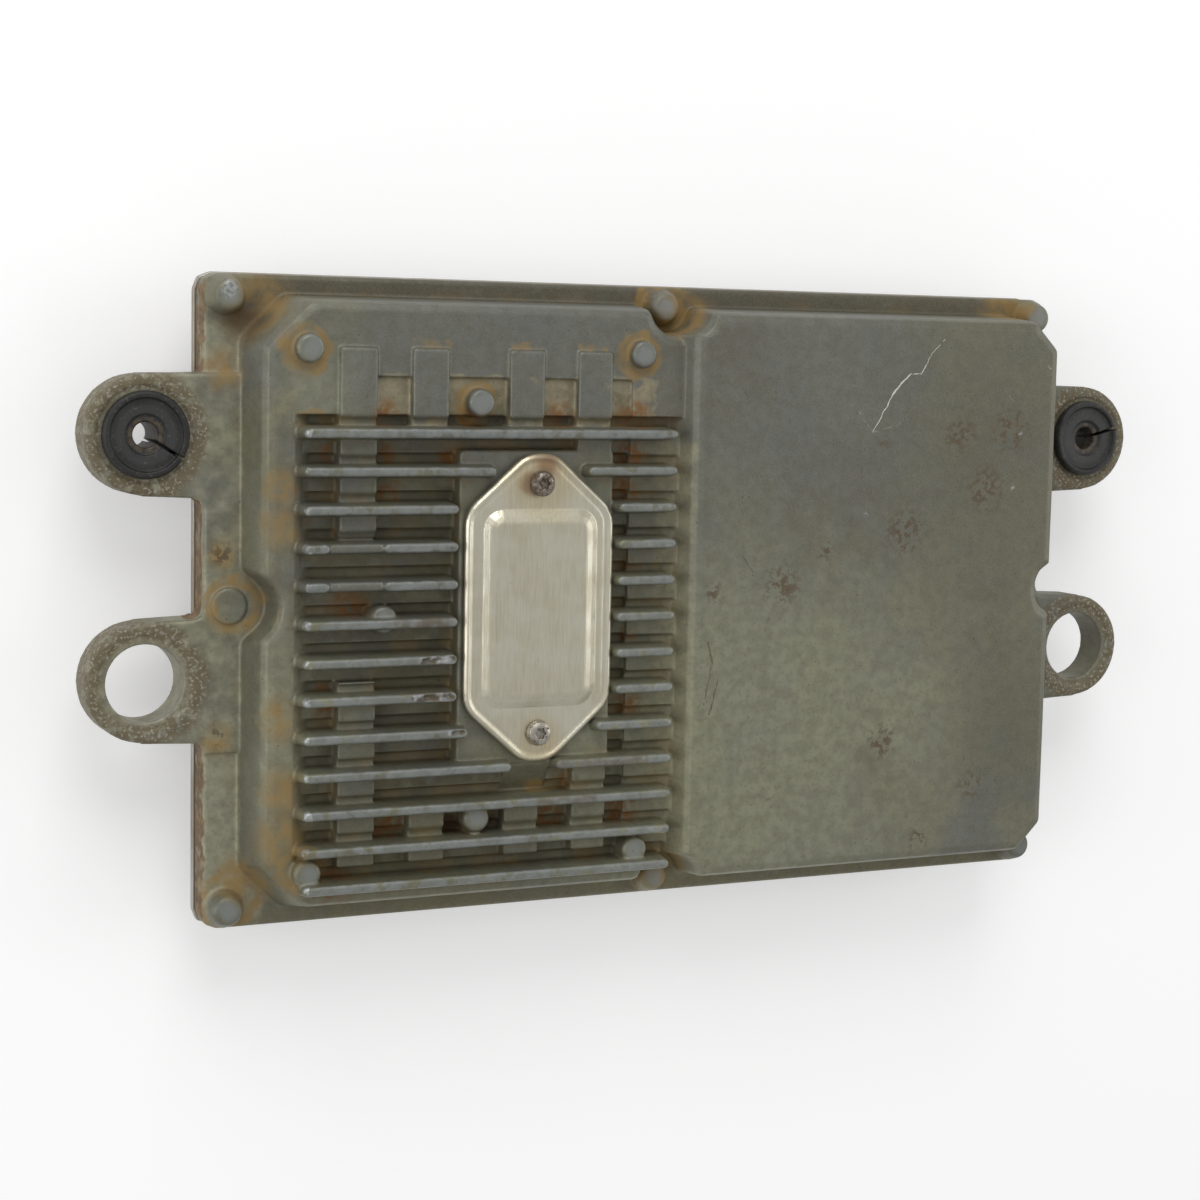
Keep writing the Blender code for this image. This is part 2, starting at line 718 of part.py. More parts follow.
def cross_body(name, line, bottom_or_top, x_low, x_high, lean=0.0):
    """A body whose (y, z) line runs along X. The left end leans by the given run per millimetre."""
    outline = list(line) + [(line[-1][0], bottom_or_top), (line[0][0], bottom_or_top)]
    left = [Vector((x_low + (PLATFORM_Z - z) * lean, y, z)) for y, z in outline]
    right = [Vector((x_high, y, z)) for y, z in outline]
    return loft(name, [left, right])


def field_cutter():
    line = stepped_line(FIRST_FIN_Y + FIN_PITCH - LEDGE_REACH, LAST_FIN_Y, LEDGE_Z, FLOOR_Z, LEDGE_REACH)
    return cross_body("field", line, FIN_TOP_Z, FIELD_LEFT, FIN_RIGHT + FIELD_RUN_OUT, FIELD_LEFT_DRAFT)


def upper_pocket_cutter():
    low = FIRST_FIN_Y
    corners = box_corners(PAD_CENTRES[0], SIDE_TREAD_LEFT, low, POCKET_TOP_Y, 1.0)
    return prism("upper_pocket", rounded_outline(corners), POCKET_Z, FIN_TOP_Z)


def pad(x, y_high, y_low):
    """A flat pad across the fins, a little lower in the shaded half of each gap."""
    half = PAD_WIDTH / 2.0
    foot = FLOOR_Z - OVERLAP
    line = stepped_line(y_high, y_low, PAD_Z, PAD_Z - PAD_STEP, PAD_REACH)
    body = cross_body("pad", line, foot, x - half, x + half)
    modifier = body.modifiers.new("edges", "BEVEL")
    modifier.width = PAD_EDGE * MM
    modifier.segments = 1
    modifier.limit_method = "ANGLE"
    modifier.angle_limit = math.radians(50.0)
    return body


def pads():
    """Four pads: the first is broken in the middle, and the port's seat stands in the others."""
    spans = (
        ((PAD_TOP_Y, PAD_GAP[1]), (PAD_GAP[0], PAD_BOTTOM_Y)),
        ((PAD_TOP_Y, fin_y(1)), (fin_y(11), PAD_BOTTOM_Y)),
        ((PAD_TOP_Y, fin_y(1)), (fin_y(11), PAD_BOTTOM_Y)),
        ((PAD_TOP_Y, fin_y(3)), (fin_y(10), PAD_BOTTOM_Y)),
    )
    made = [pad(x, high, low) for x, pairs in zip(PAD_CENTRES, spans) for high, low in pairs]
    tread = stepped_line(fin_y(1), fin_y(12), SIDE_TREAD_Z, SIDE_TREAD_Z - PAD_STEP, PAD_REACH)
    right = FIN_RIGHT + FIELD_RUN_OUT
    made.append(cross_body("side_tread", tread, FLOOR_Z - OVERLAP, SIDE_TREAD_LEFT, right))
    return made


def port_seat():
    """The raised frame under the port cover, and the sloped tongue below it."""
    grow = PORT_SEAT_MARGIN
    corners = centred_corners(
        PORT_X, PORT_Y, PORT_COVER_WIDTH + 2.0 * grow, PORT_COVER_LENGTH + 2.0 * grow, 1.6
    )
    edge = PORT_SEAT_EDGE
    seat = raised("port_seat", corners, FLOOR_Z - OVERLAP, PORT_SEAT_Z, edge, PORT_SEAT_DRAFT, cuts=1)
    slope = [(PORT_Y, PORT_SEAT_Z - edge), (TONGUE_TOP_Y, PORT_SEAT_Z - edge), (TONGUE_FOOT_Y, FLOOR_Z)]
    return [seat, cross_body("tongue", slope, FLOOR_Z - OVERLAP, TONGUE_LEFT, TONGUE_RIGHT)]


def port_screw_places():
    half = PORT_COVER_LENGTH / 2.0 - PORT_SCREW_INSET
    return ((PORT_X, PORT_Y + half), (PORT_X, PORT_Y - half))


def upper_housing(look):
    """The casting: flange and ears, platform, deep half, fin field, cavities and screw holes."""
    housing = raised(
        "upper_housing",
        flange_corners(),
        FLANGE_REAR_Z,
        FLANGE_Z,
        FLANGE_EDGE_ROUND,
        0.0,
        look,
    )
    platform = platform_corners(BOX_RIGHT / 2.0)
    root = FLANGE_Z - OVERLAP
    body = [ear_plate(side) for side in (-1.0, 1.0)]
    body += [cone_boss(x, y) for x, y in CONE_BOSS_CENTRES]
    body += [mid_boss(x, y) for x, y in MID_BOSS_CENTRES]
    body.append(
        raised("platform", platform, root, PLATFORM_Z, PLATFORM_EDGE_ROUND, 0.0,
               side_drafts=platform_side_drafts())
    )
    combine(housing, "body", "UNION", body)
    combine(housing, "field", "DIFFERENCE", [field_cutter(), upper_pocket_cutter()])
    front = [deep_half()]
    front += fins() + pads() + port_seat()
    front += [small_boss(x, y) for x, y in SMALL_BOSS_CENTRES]
    combine(housing, "front", "UNION", front)
    wall = CASTING_WALL
    low = FLANGE_REAR_Z - THROUGH
    leaning = [(FIELD_CEILING_Z - root) * draft for draft in platform_side_drafts()]
    inset = wall + BOX_DRAFT * FIN_TOP_TO_FLANGE
    deep = box_corners_inside(BOX_CAVITY_LEFT - inset, BOX_CAVITY_CUT)
    hollows = [
        prism("field_cavity", rounded_outline(platform, wall, 2, leaning), low, FIELD_CEILING_Z),
        prism("box_cavity", rounded_outline(deep, inset), low, BOX_CEILING_Z),
    ]
    combine(housing, "hollow", "DIFFERENCE", hollows)
    posts = [
        prism("post", circle(x, y, POST_RADIUS, 12), POWER_BOARD_Z + BOARD_THICKNESS + CLEARANCE,
              FIELD_CEILING_Z + OVERLAP)
        for x, y in SMALL_BOSS_CENTRES
    ]
    posts += [
        prism("post", circle(x, y, LOGIC_POST_RADIUS, 12), LOGIC_BOARD_Z + BOARD_THICKNESS + CLEARANCE,
              BOX_CEILING_Z + OVERLAP)
        for x, y in logic_screw_places()
    ]
    combine(housing, "posts", "UNION", posts)
    holes = [prism("ear_hole", circle(x, y, EAR_HOLE_RADIUS, 28), low, EAR_Z + THROUGH)
             for x, y in EAR_CENTRES]
    holes += [prism("ear_lip", circle(x, y, EAR_LIP_RADIUS, 28), EAR_Z - EAR_LIP_DEPTH, EAR_Z + THROUGH)
              for x, y in EAR_CENTRES]
    holes += [
        prism("flange_hole", circle(x, y, COVER_SCREW_RADIUS + CLEARANCE, HOLE_STEPS), low,
              FLANGE_REAR_Z + COVER_SCREW_REACH)
        for x, y in BOSS_CENTRES
    ]
    holes += [
        prism("post_hole", circle(x, y, BOARD_SCREW_RADIUS + CLEARANCE, HOLE_STEPS), low,
              POWER_BOARD_Z + BOARD_THICKNESS + BOARD_SCREW_REACH)
        for x, y in SMALL_BOSS_CENTRES
    ]
    holes += [
        prism("post_hole", circle(x, y, BOARD_SCREW_RADIUS + CLEARANCE, HOLE_STEPS), low,
              LOGIC_BOARD_Z + BOARD_THICKNESS + BOARD_SCREW_REACH)
        for x, y in logic_screw_places()
    ]
    holes += [
        prism("port_screw_hole", circle(x, y, PORT_SCREW_SHANK_RADIUS + CLEARANCE, HOLE_STEPS),
              PORT_SEAT_Z - PORT_SCREW_LENGTH, FIN_TOP_Z)
        for x, y in port_screw_places()
    ]
    opening = centred_corners(PORT_X, PORT_Y, PORT_OPENING_WIDTH, PORT_OPENING_LENGTH, 4.0)
    holes.append(prism("port_opening", rounded_outline(opening), low, FIN_TOP_Z))
    holes.append(prism("cover_room", rounded_outline(flange_corners(), -COVER_OVERHANG - CLEARANCE), low,
                       FLANGE_REAR_Z))
    combine(housing, "holes", "DIFFERENCE", holes)
    shade_round(housing)
    return housing


def rear_cover(look):
    """A drawn sheet cover: flat rim under the flange, deep pan behind it, three socket windows."""
    rim = rounded_outline(flange_corners(), -COVER_OVERHANG)
    cover = prism("rear_cover", rim, COVER_REAR_RIM_Z, COVER_RIM_TOP_Z, look)
    pan = pan_rings(0.0, 0.0, COVER_RIM_TOP_Z - 0.5)
    combine(cover, "pan", "UNION", [loft("pan", pan)])
    inner = pan_rings(COVER_SHEET, COVER_SHEET, COVER_RIM_TOP_Z + THROUGH)
    cuts = [loft("pan_inside", inner)]
    cuts += [
        prism("screw_hole", circle(x, y, COVER_SCREW_RADIUS + CLEARANCE, HOLE_STEPS),
              COVER_REAR_RIM_Z - THROUGH, COVER_RIM_TOP_Z + THROUGH)
        for x, y in BOSS_CENTRES
    ]
    cuts += [
        prism("socket_window", shroud_outline(y, width, height, -CLEARANCE), -THROUGH, COVER_SHEET + OVERLAP)
        for _, y, width, height, _ in SOCKET_SHAPES
    ]
    combine(cover, "openings", "DIFFERENCE", cuts)
    shade_round(cover)
    return cover


def pan_rings(sheet, floor, top):
    """Rings up the pan's wall, from its rounded foot, set in by the sheet's thickness."""
    half_x = FLANGE_LENGTH / 2.0 - PAN_BORDER_X
    half_y = FLANGE_WIDTH / 2.0 - PAN_BORDER_Y
    corners = box_corners(-half_x, half_x, -half_y, half_y, PAN_CORNER)
    edge = PAN_EDGE_ROUND - sheet
    rings = []
    for inset, height in ((edge, 0.0), (0.3 * edge, 0.3 * edge), (0.0, edge)):
        rings.append(ring(rounded_outline(corners, sheet + PAN_DRAFT + inset, 2), floor + height))
    rings.append(ring(rounded_outline(corners, sheet, 2), top))
    return rings


def housing_gasket(look):
    """A thin flat seal between the flange and the rear cover's rim."""
    low = COVER_RIM_TOP_Z + CLEARANCE
    high = low + GASKET_THICKNESS
    gasket = prism("housing_gasket", rounded_outline(flange_corners(), GASKET_SET_IN), low, high, look)
    window = rounded_outline(flange_corners(), GASKET_BORDER)
    cuts = [prism("gasket_window", window, low - OVERLAP, high + OVERLAP)]
    cuts += [
        prism("screw_hole", circle(x, y, COVER_SCREW_RADIUS + CLEARANCE, HOLE_STEPS),
              low - OVERLAP, high + OVERLAP)
        for x, y in BOSS_CENTRES
    ]
    combine(gasket, "openings", "DIFFERENCE", cuts)
    return gasket


def screw(name, x, y, under_head, head_radius, head_height, shank_radius, length, up, look):
    """A pan-head screw with a plain recess. Up is 1 where the head stands above its seat."""
    dome = 0.25 * head_height
    recess = 0.45 * head_radius
    profile = [
        (shank_radius, -length),
        (shank_radius, 0.0),
        (head_radius, 0.0),
        (head_radius, head_height - dome),
        (0.82 * head_radius, head_height),
        (recess, head_height),
        (0.9 * recess, 0.45 * head_height),
    ]
    rings = [ring(circle(x, y, radius, SCREW_STEPS), under_head + up * height) for radius, height in profile]
    made = loft(name, rings, look)
    shade_round(made, 0.7)
    return made


def cover_screws(look):
    under_head = COVER_REAR_RIM_Z - CLEARANCE
    length = FLANGE_REAR_Z + COVER_SCREW_REACH - CLEARANCE - under_head
    for number, (x, y) in enumerate(BOSS_CENTRES, 1):
        screw(f"cover_screw_{number}", x, y, under_head, COVER_SCREW_HEAD_RADIUS,
              COVER_SCREW_HEAD_HEIGHT, COVER_SCREW_RADIUS, length, -1.0, look)


def port_cover_corners(half_width, half_length, half_side, tip):
    """A long hexagon: straight sides, blunt rounded tips at the top and the bottom."""
    x, y = PORT_X, PORT_Y
    shoulder = PORT_COVER_SHOULDER
    return [
        (x - half_width, y - half_side, shoulder),
        (x - PORT_TIP_FLAT, y - half_length, tip),
        (x + PORT_TIP_FLAT, y - half_length, tip),
        (x + half_width, y - half_side, shoulder),
        (x + half_width, y + half_side, shoulder),
        (x + PORT_TIP_FLAT, y + half_length, tip),
        (x - PORT_TIP_FLAT, y + half_length, tip),
        (x - half_width, y + half_side, shoulder),
    ]


def port_plate_corners():
    return port_cover_corners(
        PORT_COVER_WIDTH / 2.0, PORT_COVER_LENGTH / 2.0, PORT_COVER_SIDE / 2.0, PORT_TIP_RADIUS
    )


def port_cover(look):
    """A stamped plate with a rolled rim and a pillow pressed up in its middle."""
    low = PORT_SEAT_Z + PORT_GASKET_THICKNESS + 2.0 * CLEARANCE
    top = low + PORT_COVER_SHEET
    plate = raised("port_cover", port_plate_corners(), low, top, PORT_RIM_ROUND, 0.0, look, steps=4)
    pillow = centred_corners(PORT_X, PORT_Y, PILLOW_WIDTH, PILLOW_LENGTH, PILLOW_CORNER)
    levels = ((0.0, -0.5), (0.12, 0.1), (0.5, 0.62), (0.85, 0.94), (1.0, 1.0))
    rings = [
        ring(rounded_outline(pillow, PILLOW_SLOPE * run, 4), top + PILLOW_HEIGHT * rise)
        for run, rise in levels
    ]
    combine(plate, "pillow", "UNION", [loft("pillow", rings)])
    under = [
        ring(rounded_outline(pillow, PORT_COVER_SHEET + PILLOW_SLOPE * run, 4), low + PILLOW_HEIGHT * rise)
        for run, rise in ((0.0, -0.8), (0.12, 0.1), (0.85, 0.94))
    ]
    cuts = [loft("pillow_hollow", under)]
    cuts += [
        prism("screw_hole", circle(x, y, PORT_SCREW_SHANK_RADIUS + CLEARANCE, HOLE_STEPS),
              low - OVERLAP, top + OVERLAP)
        for x, y in port_screw_places()
    ]
    combine(plate, "holes", "DIFFERENCE", cuts)
    shade_round(plate)
    return plate


def port_gasket(look):
    low = PORT_SEAT_Z + CLEARANCE
    high = low + PORT_GASKET_THICKNESS
    outline = rounded_outline(port_plate_corners(), PORT_GASKET_SET_IN, 4)
    gasket = prism("port_cover_gasket", outline, low, high, look)
    grow = 2.0 * PORT_GASKET_SET_IN
    window = centred_corners(PORT_X, PORT_Y, PORT_OPENING_WIDTH + grow, PORT_OPENING_LENGTH + grow, 5.0)
    cuts = [prism("window", rounded_outline(window), low - OVERLAP, high + OVERLAP)]
    cuts += [
        prism("screw_hole", circle(x, y, PORT_SCREW_SHANK_RADIUS + CLEARANCE, HOLE_STEPS),
              low - OVERLAP, high + OVERLAP)
        for x, y in port_screw_places()
    ]
    combine(gasket, "openings", "DIFFERENCE", cuts)
    return gasket


def lobed(x, y, radius, depth, steps):
    """A star socket's outline: six lobes on a circle."""
    turn = 2.0 * math.pi / steps
    points = []
    for i in range(steps):
        reach = radius + depth * math.cos(6.0 * turn * i)
        points.append((x + reach * math.cos(turn * i), y + reach * math.sin(turn * i)))
    return points


def port_screw(number, x, y, look):
    """A button-head screw with a star socket."""
    seat = PORT_SEAT_Z + PORT_GASKET_THICKNESS + PORT_COVER_SHEET + 3.0 * CLEARANCE
    head, height, shank = PORT_SCREW_HEAD_RADIUS, PORT_SCREW_HEAD_HEIGHT, PORT_SCREW_SHANK_RADIUS
    end = PORT_SEAT_Z - PORT_SCREW_LENGTH + CLEARANCE
    levels = (
        (circle(x, y, shank, STAR_STEPS), end),
        (circle(x, y, shank, STAR_STEPS), seat),
        (circle(x, y, head, STAR_STEPS), seat),
        (circle(x, y, head, STAR_STEPS), seat + 0.4 * height),
        (circle(x, y, 0.86 * head, STAR_STEPS), seat + 0.82 * height),
        (circle(x, y, 0.62 * head, STAR_STEPS), seat + height),
        (lobed(x, y, STAR_RADIUS, STAR_LOBE, STAR_STEPS), seat + height),
        (lobed(x, y, 0.92 * STAR_RADIUS, STAR_LOBE, STAR_STEPS), seat + height - STAR_DEPTH),
    )
    made = loft(f"port_screw_{number}", [ring(points, level) for points, level in levels], look)
    shade_round(made, 0.7)
    return made


def grommet(name, side, look):
    """A rubber bush that clips into an ear, with a groove on its face and one slit to its edge."""
    x, y = side * EAR_SPACING / 2.0, UPPER_EAR_Y
    face = EAR_Z - EAR_LIP_DEPTH + CLEARANCE
    back = COVER_REAR_RIM_Z - CLEARANCE
    lip, bore, rim = GROMMET_LIP, GROMMET_BORE, GROMMET_RADIUS
    waist = EAR_HOLE_RADIUS - CLEARANCE
    step, top = GROMMET_EASE, face + lip
    dish, recess = GROMMET_DISH_RADIUS, GROMMET_RECESS_RADIUS
    dish_z = top - GROMMET_DISH_DEPTH
    recess_z = dish_z - GROMMET_RECESS_DEPTH
    profile = [
        (bore, back - lip + step),
        (bore + step, back - lip),
        (rim - step, back - lip),
        (rim, back - lip + step),
        (rim, back),
        (waist, back),
        (waist, face),
        (rim, face),
        (rim, top - 2.0 * step),
        (rim - step, top - 0.3 * step),
        (rim - 2.0 * step, top),
        (dish + 0.6 * step, top - 0.2 * step),
        (dish, dish_z),
        (recess + step, dish_z - 0.4 * step),
        (recess, recess_z),
        (bore + step, recess_z),
        (bore, recess_z - step),
    ]
    body = turned(name, x, y, profile, look, steps=24, closed=True)
    half = GROMMET_SLIT / 2.0
    angle = GROMMET_SLIT_ANGLES[name]
    along = Vector((math.cos(angle), math.sin(angle)))
    across = Vector((-along.y, along.x)) * half
    centre = Vector((x, y))
    far = centre + along * (rim + THROUGH)
    outline = [centre - across, far - across, far + across, centre + across]
    low, high = back - lip - THROUGH, face + lip + THROUGH
    combine(body, "slit", "DIFFERENCE", [prism("slit", outline, low, high)])
    shade_round(body)
    return body


def shroud_outline(y, width, height, inset=0.0):
    corners = centred_corners(SOCKET_X, y, width, height, SHROUD_CORNER)
    return rounded_outline(corners, inset)


def socket_shroud(letter, y, width, height, look):
    """A moulded sleeve, open behind, with the rim that presses its seal on the pan."""
    low, high = SHROUD_RECESS, SHROUD_BACK_Z - CLEARANCE
    body = prism(f"socket_shroud_{letter}", shroud_outline(y, width, height), low, high, look)
    rim_low = COVER_SHEET + SEAL_THICKNESS + 2.0 * CLEARANCE
    rim_outline = shroud_outline(y, width, height, -SHROUD_RIM_WIDTH)
    rim = prism("rim", rim_outline, rim_low, rim_low + SHROUD_RIM_THICKNESS)
    combine(body, "rim", "UNION", [rim])
    inside = prism("inside", shroud_outline(y, width, height, SHROUD_WALL), low - OVERLAP, high + OVERLAP)
    combine(body, "inside", "DIFFERENCE", [inside])
    return body


def socket_seal(letter, y, width, height, look):
    low = COVER_SHEET + CLEARANCE
    high = low + SEAL_THICKNESS
    outer = shroud_outline(y, width, height, -SHROUD_RIM_WIDTH)
    seal = prism(f"socket_seal_{letter}", outer, low, high, look)
    hole = prism("hole", shroud_outline(y, width, height, -CLEARANCE), low - OVERLAP, high + OVERLAP)
    combine(seal, "hole", "DIFFERENCE", [hole])
    return seal


def pin_block(letter, y, width, height, count, look):
    """Two rows of contacts moulded into the plate that closes the sleeve's inner end."""
    low = SHROUD_BACK_Z
    outline = shroud_outline(y, width, height)
    plate = prism(f"pin_block_{letter}", outline, low, low + PIN_BLOCK_THICKNESS, look)
    pins = []
    for row in (-0.5, 0.5):
        for index in range(count):
            x = SOCKET_X + (index - (count - 1) / 2.0) * PIN_PITCH
            corners = centred_corners(x, y + row * PIN_ROW_GAP, PIN_SIZE, PIN_SIZE, 0.0)
            square = [(px, py) for px, py, _ in corners]
            pins.append(prism("pin", square, PIN_TIP_Z, LOGIC_BOARD_Z - CLEARANCE))
    combine(plate, "pins", "UNION", pins)
    return plate


def power_board_outline():
    gap = CASTING_WALL + BOARD_EDGE_GAP
    return rounded_outline(platform_corners(POWER_BOARD_RIGHT + gap), gap, 2)


def power_board(look):
    low, high = POWER_BOARD_Z, POWER_BOARD_Z + BOARD_THICKNESS
    board = prism("power_board", power_board_outline(), low, high, look)
    cuts = [
        prism("screw_hole", circle(x, y, BOARD_SCREW_RADIUS + CLEARANCE, HOLE_STEPS),
              low - OVERLAP, high + OVERLAP)
        for x, y in SMALL_BOSS_CENTRES
    ]
    combine(board, "holes", "DIFFERENCE", cuts)
    return board


def logic_screw_places():
    sides = (LOGIC_SCREW_LEFT, LOGIC_SCREW_RIGHT)
    reach = BOX_HALF_WIDTH - LOGIC_SCREW_INSET
    return tuple((x, side * reach) for x in sides for side in (1.0, -1.0))


def logic_board(look):
    low, high = LOGIC_BOARD_Z, LOGIC_BOARD_Z + BOARD_THICKNESS
    gap = CASTING_WALL + BOARD_EDGE_GAP
    corners = box_corners_inside(LOGIC_BOARD_LEFT - gap, LOGIC_BOARD_CUT)
    board = prism("logic_board", rounded_outline(corners, gap, 2), low, high, look)
    cuts = [
        prism("screw_hole", circle(x, y, BOARD_SCREW_RADIUS + CLEARANCE, HOLE_STEPS),
              low - OVERLAP, high + OVERLAP)
        for x, y in logic_screw_places()
    ]
    combine(board, "holes", "DIFFERENCE", cuts)
    return board


def board_screws(look):
    groups = (
        ("power_board_screw", SMALL_BOSS_CENTRES, POWER_BOARD_Z),
        ("logic_board_screw", logic_screw_places(), LOGIC_BOARD_Z),
    )
    for name, places, board_z in groups:
        under_head = board_z - CLEARANCE
        length = BOARD_THICKNESS + BOARD_SCREW_REACH
        for number, (x, y) in enumerate(places, 1):
            screw(f"{name}_{number}", x, y, under_head, BOARD_SCREW_HEAD_RADIUS,
                  BOARD_SCREW_HEAD_HEIGHT, BOARD_SCREW_RADIUS, length, -1.0, look)


def capacitor(number, x, y, look):
    """An upright can under the power board, with the crimped groove near its sealed end."""
    top = POWER_BOARD_Z - CLEARANCE
    low = top - CAPACITOR_LENGTH
    radius, groove = CAPACITOR_RADIUS, CAPACITOR_GROOVE
    profile = (
        (radius - 0.8, low),
        (radius, low + 0.8),
        (radius, top - 4.0),
        (radius - groove, top - 3.2),
        (radius, top - 2.4),
        (radius, top),
    )
    made = turned(f"capacitor_{number}", x, y, profile, look, steps=20)
    shade_round(made, 0.7)


def inductor(number, x, y, core_look):
    """A square ferrite core with its rounded corners and the step round its top plate."""
    top = POWER_BOARD_Z - CLEARANCE
    low = top - INDUCTOR_HEIGHT
    corners = centred_corners(x, y, INDUCTOR_SIZE, INDUCTOR_SIZE, 3.0)
    rings = []
    for height, inset in ((low, 0.6), (low + 0.6, 0.0), (low + 4.0, 0.0), (low + 4.0, 2.0),
                          (top - 4.0, 2.0), (top - 4.0, 0.0), (top, 0.0)):
        rings.append(ring(rounded_outline(corners, inset, 2), height))
    loft(f"boost_inductor_{number}", rings, core_look)


def transistor_row(number, y, look, pad_look):
    """A moulded carrier of flat power packages on the board's upper side, and its heat pad."""
    low = POWER_BOARD_Z + BOARD_THICKNESS + CLEARANCE
    high = low + TRANSISTOR_HEIGHT
    half = TRANSISTOR_ROW_LENGTH / 2.0
    centre = (FIN_LEFT + FIN_RIGHT) / 2.0
    width = TRANSISTOR_ROW_WIDTH
    body = prism(
        f"transistor_row_{number}",
        rounded_outline(centred_corners(centre, y, TRANSISTOR_ROW_LENGTH, width * 0.6, 0.5), 0.0, 1),
        low, low + 1.2, look,
    )
    pitch = TRANSISTOR_ROW_LENGTH / TRANSISTOR_COUNT
    packages = []
    for index in range(TRANSISTOR_COUNT):
        x = centre - half + (index + 0.5) * pitch
        corners = centred_corners(x, y, pitch * 0.78, width, 0.4)
        packages.append(prism("package", rounded_outline(corners, 0.0, 1), low, high))
    combine(body, "packages", "UNION", packages)
    pad_low = high + CLEARANCE
    pad_corners = centred_corners(centre, y, TRANSISTOR_ROW_LENGTH, width + 1.0, 0.5)
    prism(f"heat_pad_{number}", rounded_outline(pad_corners, 0.0, 1), pad_low,
          FIELD_CEILING_Z - CLEARANCE, pad_look)


def board_parts(looks):
    """What the boards carry."""
    for number, (x, y) in enumerate(CAPACITORS_AT, 1):
        capacitor(number, x, y, looks["aluminium_can"])
    for number, (x, y) in enumerate(INDUCTORS_AT, 1):
        inductor(number, x, y, looks["ferrite"])
    for number, y in enumerate(TRANSISTOR_ROWS_Y, 1):
        transistor_row(number, y, looks["package"], looks["heat_pad"])
    header = centred_corners(HEADER_X, 0.0, HEADER_WIDTH, HEADER_LENGTH, 0.6)
    prism("board_header", rounded_outline(header, 0.0, 1), LOGIC_BOARD_Z + BOARD_THICKNESS + CLEARANCE,
          POWER_BOARD_Z - CLEARANCE, looks["moulding"])
    board_top = POWER_BOARD_Z + BOARD_THICKNESS + CLEARANCE
    length, width, height = SERVICE_HEADER_SIZE
    service = centred_corners(PORT_X, PORT_Y, width, length, 0.8)
    prism("service_header", rounded_outline(service, 0.0, 1), board_top, board_top + height,
          looks["moulding"])
    logic_top = LOGIC_BOARD_Z + BOARD_THICKNESS + CLEARANCE
    chip = centred_corners(SOCKET_X, CHIP_Y, CHIP_SIZE, CHIP_SIZE, 1.0)
    prism("processor", rounded_outline(chip, 0.0, 1), logic_top, logic_top + CHIP_HEIGHT, looks["package"])
    length, width, height = MEMORY_SIZE
    memory = centred_corners(MEMORY_X, CHIP_Y, length, width, 0.6)
    prism("memory_chip", rounded_outline(memory, 0.0, 1), logic_top, logic_top + height, looks["package"])


def main():
    clear_scene()
    looks = {
        "casting": material("casting", (0.2, 0.2, 0.165), 0.55, 0.6),
        "tinplate": material("tinplate", (0.62, 0.57, 0.46), 0.38, 0.9),
        "cover_sheet": material("cover_sheet", (0.36, 0.35, 0.32), 0.5, 0.8),
        "rubber": material("rubber", (0.018, 0.021, 0.025), 0.7, 0.0),
        "gasket": material("gasket", (0.05, 0.045, 0.04), 0.8, 0.0),
        "steel": material("steel", (0.28, 0.24, 0.2), 0.45, 0.9),
        "moulding": material("moulding", (0.03, 0.03, 0.032), 0.5, 0.0),
        "pins": material("pins", (0.45, 0.4, 0.3), 0.4, 0.3),
        "board": material("board", (0.03, 0.13, 0.05), 0.45, 0.0),
        "aluminium_can": material("aluminium_can", (0.6, 0.6, 0.62), 0.35, 0.9),
        "ferrite": material("ferrite", (0.06, 0.06, 0.065), 0.6, 0.1),
        "package": material("package", (0.02, 0.02, 0.022), 0.45, 0.0),
        "heat_pad": material("heat_pad", (0.35, 0.4, 0.5), 0.7, 0.0),
    }
    upper_housing(looks["casting"])
    rear_cover(looks["cover_sheet"])
    housing_gasket(looks["gasket"])
    cover_screws(looks["steel"])
    port_gasket(looks["gasket"])
    port_cover(looks["tinplate"])
    for number, (x, y) in enumerate(port_screw_places(), 1):
        port_screw(number, x, y, looks["steel"])
    grommet("grommet_left", -1.0, looks["rubber"])
    grommet("grommet_right", 1.0, looks["rubber"])
    for letter, y, width, height, count in SOCKET_SHAPES:
        socket_shroud(letter, y, width, height, looks["moulding"])
        socket_seal(letter, y, width, height, looks["rubber"])
        pin_block(letter, y, width, height, count, looks["pins"])
    power_board(looks["board"])
    logic_board(looks["board"])
    board_screws(looks["steel"])
    board_parts(looks)


main()
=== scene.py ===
"""Looks of a weathered die-cast engine control module with fins, a stamped port cover and grommets.

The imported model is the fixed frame. Each sub-assembly is a class that remeshes or dresses its own
pieces, and each finish is a frozen dataclass that builds one procedural material.
"""

import logging
from dataclasses import dataclass
from enum import Enum
from typing import Sequence, Union

import bpy
import numpy as np
from mathutils import Matrix, Vector
from mathutils.kdtree import KDTree


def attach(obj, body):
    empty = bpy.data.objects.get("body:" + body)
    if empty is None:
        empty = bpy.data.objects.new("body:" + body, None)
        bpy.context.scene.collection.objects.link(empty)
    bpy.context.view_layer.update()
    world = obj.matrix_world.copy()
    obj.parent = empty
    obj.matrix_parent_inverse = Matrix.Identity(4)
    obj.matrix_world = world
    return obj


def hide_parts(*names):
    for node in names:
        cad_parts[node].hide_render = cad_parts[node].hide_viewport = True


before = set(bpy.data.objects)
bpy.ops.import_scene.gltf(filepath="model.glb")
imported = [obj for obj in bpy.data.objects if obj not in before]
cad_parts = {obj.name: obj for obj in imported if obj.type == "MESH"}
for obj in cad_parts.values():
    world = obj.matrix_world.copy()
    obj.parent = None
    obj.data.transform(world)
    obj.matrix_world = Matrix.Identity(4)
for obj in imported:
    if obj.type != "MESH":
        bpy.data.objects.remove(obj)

LOG = logging.getLogger("control_module")
MM = 0.001
BODY = "root"

Feed = Union[float, int, Sequence[float], bpy.types.NodeSocket]
Rgb = tuple[float, float, float]
Point3 = tuple[float, float, float]


